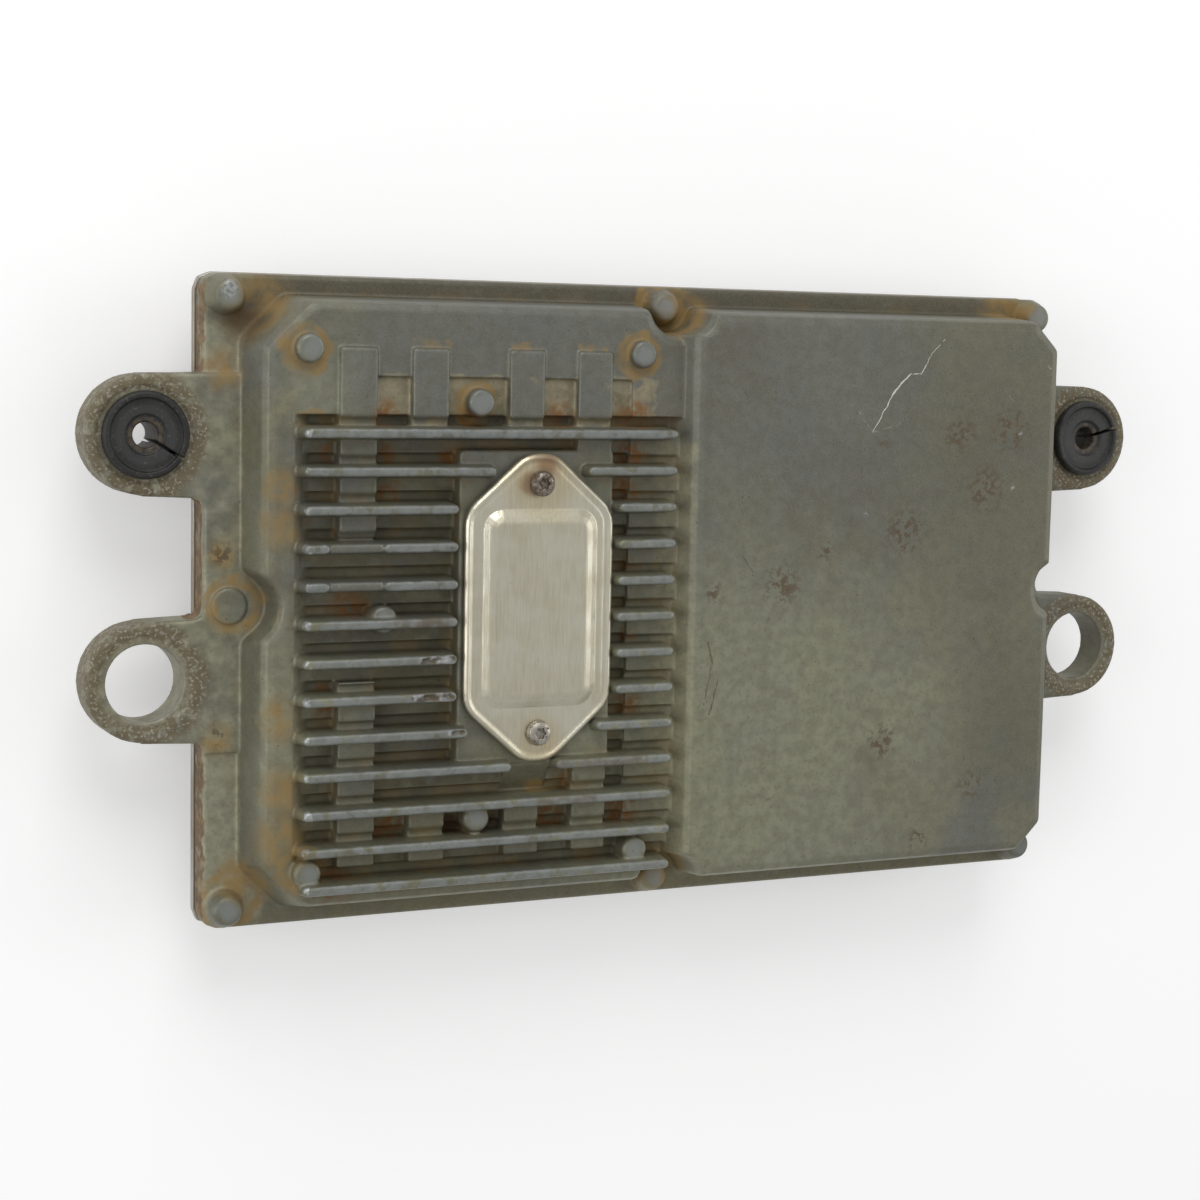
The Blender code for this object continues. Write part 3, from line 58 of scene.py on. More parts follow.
class SocketKind(Enum):
    """The kinds of socket that the shared effects use."""

    NUMBER = "NodeSocketFloat"
    VECTOR = "NodeSocketVector"


class Relief(Enum):
    """How a remeshed piece is disturbed before its triangles are thinned out."""

    PLAIN = "plain"
    CAST = "cast"
    STAMPED = "stamped"


class Zone(Enum):
    """The stretches of the casting that have a material each, by low and high corner in millimetres."""

    FLANGE = ((-200.0, -120.0, 0.0), (200.0, 120.0, 28.6))
    FINS = ((-200.0, -120.0, 28.6), (-4.7, 120.0, 60.0))
    BOX = ((-4.7, -120.0, 28.6), (200.0, 120.0, 60.0))

    def holds(self, points: np.ndarray, margin: float = 0.0) -> np.ndarray:
        """Tells which points lie in the zone.

        Args:
            points: Points in millimetres, one a row.
            margin: How far outside a point may lie.

        Returns:
            True or False for each point.
        """
        low, high = (np.array(corner) for corner in self.value)
        return np.all((points >= low - margin) & (points <= high + margin), axis=1)


@dataclass(frozen=True)
class Spot:
    """A round stain or mark in the part's frame, in millimetres."""

    centre: Point3
    radius: float
    feather: float

    def reaches(self, zone: Zone) -> bool:
        """Returns whether any of the spot may lie in the zone."""
        return bool(zone.holds(np.array([self.centre]), self.radius + self.feather + 2.0)[0])


@dataclass(frozen=True)
class Line:
    """A scratch, groove or gouge between two points, in millimetres."""

    start: Point3
    end: Point3
    width: float

    def reaches(self, zone: Zone) -> bool:
        """Returns whether an end of the line lies in the zone or near it."""
        return bool(zone.holds(np.array([self.start, self.end]), self.width).any())


@dataclass(frozen=True)
class Ring:
    """A band round an upright axis, in millimetres, between two heights."""

    centre: tuple[float, float]
    radius: float
    width: float
    low: float
    high: float

    def reaches(self, zone: Zone) -> bool:
        """Tells whether the band and the zone share any height and place.

        Args:
            zone: The zone.

        Returns:
            True where they do.
        """
        lowest, highest = zone.value
        reach = self.radius + self.width
        beside = self.centre[0] + reach > lowest[0] and self.centre[0] - reach < highest[0]
        return beside and self.low < highest[2] and self.high > lowest[2]


@dataclass(frozen=True)
class Region:
    """A box of the part's space with soft sides, in millimetres."""

    low: Point3
    high: Point3
    feather: float

    def reaches(self, zone: Zone) -> bool:
        """Tells whether the region and the zone share any space.

        Args:
            zone: The zone.

        Returns:
            True where they do.
        """
        lowest, highest = zone.value
        pairs = zip(self.low, self.high, lowest, highest)
        return all(low < end and high > start for low, high, start, end in pairs)


Mark = Union[Spot, Line, Ring, Region]


def rgba(colour: Rgb) -> tuple[float, float, float, float]:
    """Returns the colour with full opacity."""
    return (*colour, 1.0)


class Tree:
    """Builds one shader node tree, with short calls for the nodes that repeat."""

    def __init__(self, tree: bpy.types.NodeTree) -> None:
        """Keeps the tree that the calls add to.

        Args:
            tree: An empty node tree of a material or of a group.
        """
        self.tree = tree

    def feed(self, socket: bpy.types.NodeSocket, value: Feed) -> None:
        """Links or sets one input.

        Args:
            socket: The input to feed.
            value: Another node's output, or a constant.
        """
        if isinstance(value, bpy.types.NodeSocket):
            self.tree.links.new(value, socket)
        else:
            socket.default_value = value

    def add(self, kind: str, feeds: dict[Union[int, str], Feed], **settings: object) -> bpy.types.Node:
        """Adds one node.

        Args:
            kind: The node's Blender type.
            feeds: What goes into its inputs, by name or index.
            **settings: The node's own properties.

        Returns:
            The new node.
        """
        node = self.tree.nodes.new(kind)
        for name, value in settings.items():
            setattr(node, name, value)
        for key, value in feeds.items():
            self.feed(node.inputs[key], value)
        return node

    def math(
        self, operation: str, first: Feed, second: Feed = 0.0, clamp: bool = False
    ) -> bpy.types.NodeSocket:
        """Adds a Math node.

        Args:
            operation: The Math node's operation.
            first: The first number.
            second: The second number.
            clamp: Whether the result stays between 0 and 1.

        Returns:
            The result.
        """
        node = self.add("ShaderNodeMath", {0: first, 1: second}, operation=operation, use_clamp=clamp)
        return node.outputs[0]

    def vector(self, operation: str, first: Feed, second: Feed = (0.0, 0.0, 0.0)) -> bpy.types.NodeSocket:
        """Adds a Vector Math node.

        Args:
            operation: The Vector Math node's operation.
            first: The first vector.
            second: The second vector.

        Returns:
            The vector, or the number where the operation gives one.
        """
        node = self.add("ShaderNodeVectorMath", {0: first, 1: second}, operation=operation)
        gives_number = operation in ("DISTANCE", "LENGTH", "DOT_PRODUCT")
        return node.outputs["Value" if gives_number else "Vector"]

    def scaled(self, vector: Feed, factor: Feed) -> bpy.types.NodeSocket:
        """Multiplies a vector by a number.

        Args:
            vector: The vector.
            factor: The number.

        Returns:
            The scaled vector.
        """
        node = self.add("ShaderNodeVectorMath", {0: vector, "Scale": factor}, operation="SCALE")
        return node.outputs["Vector"]

    def spread(self, value: Feed, low: Feed, high: Feed) -> bpy.types.NodeSocket:
        """Maps a range smoothly onto 0 to 1.

        Args:
            value: The number to map.
            low: What becomes 0.
            high: What becomes 1.

        Returns:
            The mapped number.
        """
        feeds = {"Value": value, "From Min": low, "From Max": high}
        node = self.add("ShaderNodeMapRange", feeds, interpolation_type="SMOOTHSTEP")
        return node.outputs["Result"]

    def noise(self, point: Feed, size: Feed, detail: float = 3.0) -> bpy.types.NodeSocket:
        """Adds a noise texture.

        Args:
            point: Where it is read, in millimetres.
            size: The size of its features, in millimetres.
            detail: How many finer layers it has.

        Returns:
            The noise, from 0 to 1.
        """
        scale = self.math("DIVIDE", 1.0, size)
        feeds = {"Vector": point, "Scale": scale, "Detail": detail}
        return self.add("ShaderNodeTexNoise", feeds).outputs[0]

    def blend(self, factor: Feed, first: Feed, second: Feed) -> bpy.types.NodeSocket:
        """Mixes two colours.

        Args:
            factor: 0 gives the first and 1 the second.
            first: The first colour.
            second: The second colour.

        Returns:
            The mixed colour.
        """
        node = self.add("ShaderNodeMix", {0: factor, 6: first, 7: second}, data_type="RGBA")
        return node.outputs[2]

    def blend_value(self, factor: Feed, first: Feed, second: Feed) -> bpy.types.NodeSocket:
        """Mixes two numbers.

        Args:
            factor: 0 gives the first and 1 the second.
            first: The first number.
            second: The second number.

        Returns:
            The mixed number.
        """
        return self.add("ShaderNodeMix", {0: factor, 2: first, 3: second}, data_type="FLOAT").outputs[0]

    def millimetres(self) -> bpy.types.NodeSocket:
        """Returns the point on the piece in the part's frame, in millimetres."""
        place = self.add("ShaderNodeTexCoord", {}).outputs["Object"]
        return self.scaled(place, 1.0 / MM)

    def effect(self, group: bpy.types.NodeTree, feeds: dict[str, Feed]) -> bpy.types.Node:
        """Places a shared effect.

        Args:
            group: The effect's node group.
            feeds: What goes into its named inputs.

        Returns:
            The group node.
        """
        node = self.tree.nodes.new("ShaderNodeGroup")
        node.node_tree = group
        for name, value in feeds.items():
            self.feed(node.inputs[name], value)
        return node


class GroupMaker:
    """Makes one shader node group with named inputs and outputs."""

    def __init__(self, name: str, inputs: dict[str, SocketKind], outputs: dict[str, SocketKind]) -> None:
        """Makes the group and its two end nodes.

        Args:
            name: The group's name.
            inputs: The kind of each input, by name.
            outputs: The kind of each output, by name.
        """
        self.group = bpy.data.node_groups.new(name, "ShaderNodeTree")
        for title, kind in inputs.items():
            self.group.interface.new_socket(title, in_out="INPUT", socket_type=kind.value)
        for title, kind in outputs.items():
            self.group.interface.new_socket(title, in_out="OUTPUT", socket_type=kind.value)
        self.tree = Tree(self.group)
        self.given = self.group.nodes.new("NodeGroupInput").outputs
        self.result = self.group.nodes.new("NodeGroupOutput").inputs

    def finish(self, **results: bpy.types.NodeSocket) -> bpy.types.NodeTree:
        """Links the results to the group's outputs.

        Args:
            **results: What each named output gives.

        Returns:
            The finished group.
        """
        for title, socket in results.items():
            self.group.links.new(socket, self.result[title])
        return self.group


class Effects:
    """The effects that several finishes share, each a node group that is made once."""

    def __init__(self) -> None:
        """Makes every group."""
        self.spot = self.make_spot()
        self.line = self.make_line()
        self.region = self.make_region()
        self.ring = self.make_ring()
        self.patches = self.make_patches()
        self.wobble = self.make_wobble()
        self.grain = self.make_grain()
        self.specks = self.make_specks()
        self.edges = self.make_edges()
        self.openness = self.make_openness()
        self.streaks = self.make_streaks()

    def make_spot(self) -> bpy.types.NodeTree:
        """Makes a soft ball around a centre, for stains and halos.

        Returns:
            The group.
        """
        number, vector = SocketKind.NUMBER, SocketKind.VECTOR
        inputs = {"Point": vector, "Centre": vector, "Radius": number, "Feather": number}
        maker = GroupMaker("stain_spot", inputs, {"Mask": number})
        tree, given = maker.tree, maker.given
        distance = tree.vector("DISTANCE", given["Point"], given["Centre"])
        outer = tree.math("ADD", given["Radius"], given["Feather"])
        return maker.finish(Mask=tree.spread(distance, outer, given["Radius"]))

    def make_line(self) -> bpy.types.NodeTree:
        """Makes a soft line between two points, for scratches and gouges.

        Returns:
            The group.
        """
        number, vector = SocketKind.NUMBER, SocketKind.VECTOR
        inputs = {"Point": vector, "Start": vector, "End": vector, "Width": number}
        maker = GroupMaker("line_mark", inputs, {"Mask": number})
        tree, given = maker.tree, maker.given
        along = tree.vector("SUBTRACT", given["End"], given["Start"])
        away = tree.vector("SUBTRACT", given["Point"], given["Start"])
        share = tree.math(
            "DIVIDE",
            tree.vector("DOT_PRODUCT", away, along),
            tree.vector("DOT_PRODUCT", along, along),
            clamp=True,
        )
        distance = tree.vector("DISTANCE", away, tree.scaled(along, share))
        half = tree.math("MULTIPLY", given["Width"], 0.5)
        return maker.finish(Mask=tree.spread(distance, half, tree.math("MULTIPLY", half, 0.4)))

    def make_region(self) -> bpy.types.NodeTree:
        """Makes a box with soft sides, for what only a stretch of the part shows.

        Returns:
            The group.
        """
        number, vector = SocketKind.NUMBER, SocketKind.VECTOR
        inputs = {"Point": vector, "Low": vector, "High": vector, "Feather": number}
        maker = GroupMaker("box_region", inputs, {"Mask": number})
        tree, given = maker.tree, maker.given
        above = tree.vector("SUBTRACT", given["Point"], given["Low"])
        below = tree.vector("SUBTRACT", given["High"], given["Point"])
        least = tree.vector("MINIMUM", above, below)
        parts = tree.add("ShaderNodeSeparateXYZ", {0: least}).outputs
        depth = tree.math("MINIMUM", tree.math("MINIMUM", parts[0], parts[1]), parts[2])
        return maker.finish(Mask=tree.spread(depth, 0.0, given["Feather"]))

    def make_ring(self) -> bpy.types.NodeTree:
        """Makes a soft band round an upright axis, for halos, lips and the marks of a washer.

        Returns:
            The group.
        """
        number, vector = SocketKind.NUMBER, SocketKind.VECTOR
        inputs = {"Point": vector, "Centre": vector, "Radius": number, "Width": number}
        inputs |= {"Low": number, "High": number}
        maker = GroupMaker("ring_band", inputs, {"Mask": number})
        tree, given = maker.tree, maker.given
        flat = tree.vector("MULTIPLY", given["Point"], (1.0, 1.0, 0.0))
        away = tree.vector("DISTANCE", flat, given["Centre"])
        off = tree.math("ABSOLUTE", tree.math("SUBTRACT", away, given["Radius"]))
        half = tree.math("MULTIPLY", given["Width"], 0.5)
        band = tree.spread(off, half, tree.math("MULTIPLY", half, 0.3))
        height = tree.add("ShaderNodeSeparateXYZ", {0: given["Point"]}).outputs[2]
        above = tree.math("GREATER_THAN", height, given["Low"])
        below = tree.math("LESS_THAN", height, given["High"])
        return maker.finish(Mask=tree.math("MULTIPLY", band, tree.math("MULTIPLY", above, below)))

    def make_patches(self) -> bpy.types.NodeTree:
        """Makes uneven patches: noise above a level.

        Returns:
            The group.
        """
        number, vector = SocketKind.NUMBER, SocketKind.VECTOR
        inputs = {"Point": vector, "Size": number, "Low": number, "High": number}
        maker = GroupMaker("patches", inputs, {"Mask": number})
        tree, given = maker.tree, maker.given
        noise = tree.noise(given["Point"], given["Size"], 3.0)
        return maker.finish(Mask=tree.spread(noise, given["Low"], given["High"]))

    def make_wobble(self) -> bpy.types.NodeTree:
        """Makes the shake of a point by noise, so that marks read there get ragged edges.

        Returns:
            The group.
        """
        number, vector = SocketKind.NUMBER, SocketKind.VECTOR
        inputs = {"Point": vector, "Size": number, "Amount": number}
        maker = GroupMaker("wobble", inputs, {"Point": vector})
        tree, given = maker.tree, maker.given
        scale = tree.math("DIVIDE", 1.0, given["Size"])
        feeds = {"Vector": given["Point"], "Scale": scale, "Detail": 2.0}
        shake = tree.add("ShaderNodeTexNoise", feeds).outputs["Color"]
        centred = tree.vector("SUBTRACT", shake, (0.5, 0.5, 0.5))
        moved = tree.vector("ADD", given["Point"], tree.scaled(centred, given["Amount"]))
        return maker.finish(Point=moved)

    def make_grain(self) -> bpy.types.NodeTree:
        """Makes the fine grain of a blasted or cast skin, as a height and as a tone.

        Returns:
            The group.
        """
        number, vector = SocketKind.NUMBER, SocketKind.VECTOR
        inputs = {"Point": vector, "Size": number}
        maker = GroupMaker("fine_grain", inputs, {"Height": number, "Tone": number})
        tree, given = maker.tree, maker.given
        fine = tree.noise(given["Point"], given["Size"], 2.0)
        coarse = tree.noise(given["Point"], tree.math("MULTIPLY", given["Size"], 5.0), 1.0)
        height = tree.blend_value(0.45, fine, coarse)
        return maker.finish(Height=height, Tone=tree.spread(fine, 0.35, 0.65))

    def make_specks(self) -> bpy.types.NodeTree:
        """Makes sparse small dots, for pits and crumbs.

        Returns:
            The group.
        """
        number, vector = SocketKind.NUMBER, SocketKind.VECTOR
        inputs = {"Point": vector, "Size": number, "Share": number}
        maker = GroupMaker("specks", inputs, {"Mask": number})
        tree, given = maker.tree, maker.given
        scale = tree.math("DIVIDE", 1.0, given["Size"])
        cells = tree.add("ShaderNodeTexVoronoi", {"Vector": given["Point"], "Scale": scale})
        chosen = tree.add("ShaderNodeSeparateColor", {0: cells.outputs["Color"]}).outputs[0]
        present = tree.math("LESS_THAN", chosen, given["Share"])
        dot = tree.spread(cells.outputs["Distance"], 0.18, 0.06)
        return maker.finish(Mask=tree.math("MULTIPLY", dot, present))

    def make_edges(self) -> bpy.types.NodeTree:
        """Makes the mask of outer edges that are rubbed bare in places.

        Returns:
            The group.
        """
        number, vector = SocketKind.NUMBER, SocketKind.VECTOR
        inputs = {"Point": vector, "Open": number, "Radius": number, "Size": number, "Cover": number}
        maker = GroupMaker("edge_wear", inputs, {"Mask": number})
        tree, given = maker.tree, maker.given
        rounded = tree.add("ShaderNodeBevel", {"Radius": given["Radius"]}, samples=2).outputs[0]
        true_normal = tree.add("ShaderNodeNewGeometry", {}).outputs["Normal"]
        turn = tree.math("SUBTRACT", 1.0, tree.vector("DOT_PRODUCT", rounded, true_normal))
        exposed = tree.spread(given["Open"], 0.60, 0.88)
        outer = tree.math("MULTIPLY", tree.spread(turn, 0.02, 0.14), exposed)
        broken = tree.noise(given["Point"], given["Size"], 2.0)
        lowest = tree.math("SUBTRACT", 1.0, given["Cover"])
        worn = tree.spread(broken, tree.math("SUBTRACT", lowest, 0.12), tree.math("ADD", lowest, 0.12))
        return maker.finish(Mask=tree.math("MULTIPLY", outer, worn))

    def make_openness(self) -> bpy.types.NodeTree:
        """Makes the measure of how open a point is, from 0 deep in a corner to 1 on a bare flat.

        Returns:
            The group.
        """
        number = SocketKind.NUMBER
        maker = GroupMaker("openness", {"Distance": number}, {"Open": number})
        feeds = {"Distance": maker.given["Distance"]}
        node = maker.tree.add("ShaderNodeAmbientOcclusion", feeds, samples=3, only_local=True)
        return maker.finish(Open=node.outputs["AO"])

    def make_streaks(self) -> bpy.types.NodeTree:
        """Makes fine lines drawn out along Y, as rolled or stamped sheet shows.

        Returns:
            The group.
        """
        number, vector = SocketKind.NUMBER, SocketKind.VECTOR
        inputs = {"Point": vector, "Size": number, "Stretch": number}
        maker = GroupMaker("rolling_streaks", inputs, {"Mask": number})
        tree, given = maker.tree, maker.given
        narrow = tree.math("DIVIDE", 1.0, given["Stretch"])
        factors = tree.add("ShaderNodeCombineXYZ", {0: 1.0, 1: narrow, 2: 1.0}).outputs[0]
        drawn = tree.vector("MULTIPLY", given["Point"], factors)
        return maker.finish(Mask=tree.spread(tree.noise(drawn, given["Size"], 4.0), 0.3, 0.7))


class Paint:
    """A material in the making: its tree, its colour so far and the masks that finishes share."""

    def __init__(self, name: str, effects: Effects) -> None:
        """Starts a material with a Principled BSDF.

        Args:
            name: The material's name.
            effects: The shared node groups.
        """
        self.material = bpy.data.materials.new(name)
        self.material.use_nodes = True
        self.material.node_tree.nodes.clear()
        self.tree = Tree(self.material.node_tree)
        self.effects = effects
        self.shader = self.tree.add("ShaderNodeBsdfPrincipled", {})
        self.tree.add("ShaderNodeOutputMaterial", {"Surface": self.shader.outputs[0]})
        self.point = self.tree.millimetres()
        self.ragged = self.point

    def shake(self, size: float, amount: float) -> None:
        """Sets the shaken point that spots, lines and regions are read at.

        Args:
            size: The size of the shake's features, in millimetres.
            amount: How far it reaches, in millimetres.
        """
        feeds = {"Point": self.point, "Size": size, "Amount": amount}
        self.ragged = self.tree.effect(self.effects.wobble, feeds).outputs["Point"]

    def patches(self, size: float, low: float, high: float) -> bpy.types.NodeSocket:
        """Places the patches effect.

        Args:
            size: The size of the patches, in millimetres.
            low: The noise level where a patch starts.
            high: The noise level where it is full.

        Returns:
            The mask.
        """
        feeds = {"Point": self.point, "Size": size, "Low": low, "High": high}
        return self.tree.effect(self.effects.patches, feeds).outputs["Mask"]

    def specks(self, size: float, share: float) -> bpy.types.NodeSocket:
        """Places the specks effect.

        Args:
            size: The distance between places for a speck, in millimetres.
            share: The share of those places that have one.

        Returns:
            The mask.
        """
        feeds = {"Point": self.point, "Size": size, "Share": share}
        return self.tree.effect(self.effects.specks, feeds).outputs["Mask"]

    def edges(self, open_sky: Feed, radius: float, size: float, cover: float) -> bpy.types.NodeSocket:
        """Places the edge wear effect.

        Args:
            open_sky: How open each point is.
            radius: How far the wear reaches from an edge, in millimetres.
            size: The size of its gaps, in millimetres.
            cover: The share of each edge that is worn.

        Returns:
            The mask.
        """
        feeds = {"Point": self.point, "Open": open_sky, "Radius": radius * MM, "Size": size, "Cover": cover}
        return self.tree.effect(self.effects.edges, feeds).outputs["Mask"]

    def openness(self, distance: float) -> bpy.types.NodeSocket:
        """Places the openness effect.

        Args:
            distance: How near a wall still shelters a point, in millimetres.

        Returns:
            How open each point is.
        """
        return self.tree.effect(self.effects.openness, {"Distance": distance * MM}).outputs["Open"]

    def sheltered(self, open_sky: Feed, level: float, full: float = 0.15) -> bpy.types.NodeSocket:
        """Turns openness into a mask of corners and gaps.

        Args:
            open_sky: How open each point is.
            level: The openness where the mask starts.
            full: The openness where it is full.

        Returns:
            The mask.
        """
        return self.tree.spread(open_sky, level, full)

    def grain(self, size: float) -> bpy.types.Node:
        """Returns the fine grain effect's node, for grains of that size in millimetres."""
        return self.tree.effect(self.effects.grain, {"Point": self.point, "Size": size})

    def spots(self, spots: Sequence[Spot]) -> Feed:
        """Places the spot effect once for each spot.

        Args:
            spots: The spots.

        Returns:
            The mask of all of them, or 0 where there are none.
        """
        group = self.effects.spot
        joined: Feed = 0.0
        for spot in spots:
            feeds = {"Centre": spot.centre, "Radius": spot.radius, "Feather": spot.feather}
            joined = self.joined(joined, group, feeds)
        return joined

    def lines(self, lines: Sequence[Line]) -> Feed:
        """Places the line effect once for each line.

        Args:
            lines: The lines.

        Returns:
            The mask of all of them, or 0 where there are none.
        """
        group = self.effects.line
        joined: Feed = 0.0
        for line in lines:
            feeds = {"Start": line.start, "End": line.end, "Width": line.width}
            joined = self.joined(joined, group, feeds)
        return joined

    def rings(self, rings: Sequence[Ring]) -> Feed:
        """Places the ring effect once for each ring.

        Args:
            rings: The rings.

        Returns:
            The mask of all of them, or 0 where there are none.
        """
        group = self.effects.ring
        joined: Feed = 0.0
        for ring in rings:
            feeds = {"Centre": (*ring.centre, 0.0), "Radius": ring.radius, "Width": ring.width}
            joined = self.joined(joined, group, feeds | {"Low": ring.low, "High": ring.high})
        return joined

    def regions(self, regions: Sequence[Region]) -> Feed:
        """Places the region effect once for each region.

        Args:
            regions: The regions.

        Returns:
            The mask of all of them, or 0 where there are none.
        """
        group = self.effects.region
        joined: Feed = 0.0
        for region in regions:
            feeds = {"Low": region.low, "High": region.high, "Feather": region.feather}
            joined = self.joined(joined, group, feeds)
        return joined

    def joined(
        self, before: Feed, group: bpy.types.NodeTree, feeds: dict[str, Feed]
    ) -> bpy.types.NodeSocket:
        """Places a mask's effect at the shaken point and joins it to the masks before it.

        Each mask is joined as soon as it is made, which keeps few of them waiting when the shader runs.

        Args:
            before: The masks so far, or 0.
            group: The effect.
            feeds: The effect's other inputs.

        Returns:
            The highest of all of them at each point.
        """
        mask = self.tree.effect(group, {"Point": self.ragged, **feeds}).outputs["Mask"]
        return self.higher(before, mask)

    def higher(self, first: Feed, second: Feed) -> Feed:
        """Joins two masks.

        Args:
            first: A mask, or 0 for none.
            second: A mask, or 0 for none.

        Returns:
            The higher of them at each point.
        """
        if isinstance(first, float):
            return second
        if isinstance(second, float):
            return first
        return self.tree.math("MAXIMUM", first, second)

    def most(self, masks: Sequence[Feed]) -> Feed:
        """Joins masks.

        Args:
            masks: The masks, each a socket, or 0 for none.

        Returns:
            The highest of them at each point.
        """
        joined: Feed = 0.0
        for mask in masks:
            joined = self.higher(joined, mask)
        return joined

    def times(self, mask: Feed, *others: Feed) -> Feed:
        """Multiplies masks.

        Args:
            mask: The first mask, or 0 for none.
            *others: More masks or constant shares.

        Returns:
            Their product, or 0 where the first mask is none.
        """
        if isinstance(mask, float):
            return 0.0
        product = mask
        for other in others:
            product = self.tree.math("MULTIPLY", product, other)
        return product

    def layer(self, below: Feed, colour: Rgb, mask: Feed) -> Feed:
        """Lays a colour over what is there.

        Args:
            below: The colour so far.
            colour: The new colour.
            mask: Where it lies.

        Returns:
            The colour with the layer on it.
        """
        return below if isinstance(mask, float) else self.tree.blend(mask, below, rgba(colour))

    def bump(self, height: Feed, depth: float) -> None:
        """Feeds a height to the shader's normal.

        Args:
            height: The height, from 0 to 1.
            depth: What a height of 1 means, in millimetres.
        """
        node = self.tree.add("ShaderNodeBump", {"Height": height, "Distance": depth * MM, "Strength": 1.0})
        self.tree.feed(self.shader.inputs["Normal"], node.outputs[0])

    def feed(self, name: str, value: Feed) -> None:
        """Feeds one of the shader's inputs.

        Args:
            name: The input's name.
            value: A socket or a constant.
        """
        self.tree.feed(self.shader.inputs[name], value)


GREY: Rgb = (0.150, 0.155, 0.138)
OLIVE: Rgb = (0.192, 0.189, 0.122)
PAINTED_LIGHT_OLIVE: Rgb = (0.285, 0.290, 0.195)
SHADED: Rgb = (0.112, 0.108, 0.074)
PALE_FLANGE: Rgb = (0.375, 0.360, 0.250)
DIRT_AND_SHADE: Rgb = (0.088, 0.075, 0.038)
OCHRE: Rgb = (0.280, 0.180, 0.056)
RUST: Rgb = (0.205, 0.082, 0.010)
DARK_RUST: Rgb = (0.060, 0.036, 0.017)
CRUST: Rgb = (0.106, 0.076, 0.044)
BARE: Rgb = (0.420, 0.440, 0.440)
FIN_TOP: Rgb = (0.245, 0.265, 0.258)
BOSS_TOP: Rgb = (0.238, 0.252, 0.240)
EAR_BROWN: Rgb = (0.136, 0.106, 0.058)
EAR_GRIT: Rgb = (0.335, 0.315, 0.260)
TOP_STRIP: Rgb = (0.080, 0.064, 0.034)
LOW_STRIP: Rgb = (0.165, 0.145, 0.080)
PALE_LEDGE: Rgb = (0.340, 0.296, 0.180)
TAN_RAMP: Rgb = (0.290, 0.240, 0.130)
TAN_WALL: Rgb = (0.300, 0.275, 0.165)
BROWN_CLOUD: Rgb = (0.120, 0.098, 0.050)
GREY_MOTTLE: Rgb = (0.100, 0.094, 0.066)
BROWN_DUST: Rgb = (0.125, 0.096, 0.054)
PALE_GRAIN: Rgb = (0.300, 0.303, 0.262)
BAND_RUST: Rgb = (0.215, 0.138, 0.052)
EDGE_RUST: Rgb = (0.300, 0.190, 0.098)
GOUGE_BROWN: Rgb = (0.085, 0.050, 0.030)
SCRATCH_BROWN: Rgb = (0.090, 0.062, 0.028)
SCRATCH_PALE: Rgb = (0.420, 0.410, 0.370)
SCRATCH_WHITE: Rgb = (0.740, 0.720, 0.640)
SHEET_YELLOW: Rgb = (0.540, 0.430, 0.225)
SHEET_RUST: Rgb = (0.200, 0.105, 0.045)

EAR_X = 151.8
EAR_HEIGHTS = (46.3, -20.5)
EAR_RADIUS = 16.2
EAR_HOLE = 10.6
EAR_LIP = 13.4
EAR_LOW = 14.0
EAR_HIGH = 29.0
LIP_LOW = 27.4
GROMMET_RIM = 11.8
GROMMET_DISH = 9.8
GROMMET_BORE = 3.4
EAR_CENTRES = tuple((side * EAR_X, y) for side in (-1.0, 1.0) for y in EAR_HEIGHTS)
SMALL_BOSSES = (
    (-110.3, 70.1),
    (-11.2, 70.1),
    (-60.9, 55.9),
    (-88.9, -3.6),
    (-110.3, -73.0),
    (-11.2, -73.0),
    (-60.9, -60.7),
)
SHEET_TOP = 42.3
OUTLINE_REACH = 21.0
COVER_SLENDERNESS = 1.9
BEAD_HEIGHT, BEAD_INWARD, BEAD_WIDTH = 0.34, 1.0, 0.55
GROOVE_DEPTH, GROOVE_INWARD, GROOVE_WIDTH = 0.16, 2.5, 0.6
SHEET_WAVE, CAST_WAVE = 0.05, 0.05
CHIP_DEPTH, GOUGE_DEPTH = 0.55, 0.45
SLIT_ANGLES = (-0.58, 0.30)
FLANGE_BOSSES = tuple((x, y) for x in (-129.85, 0.0, 129.85) for y in (83.75, -83.75))


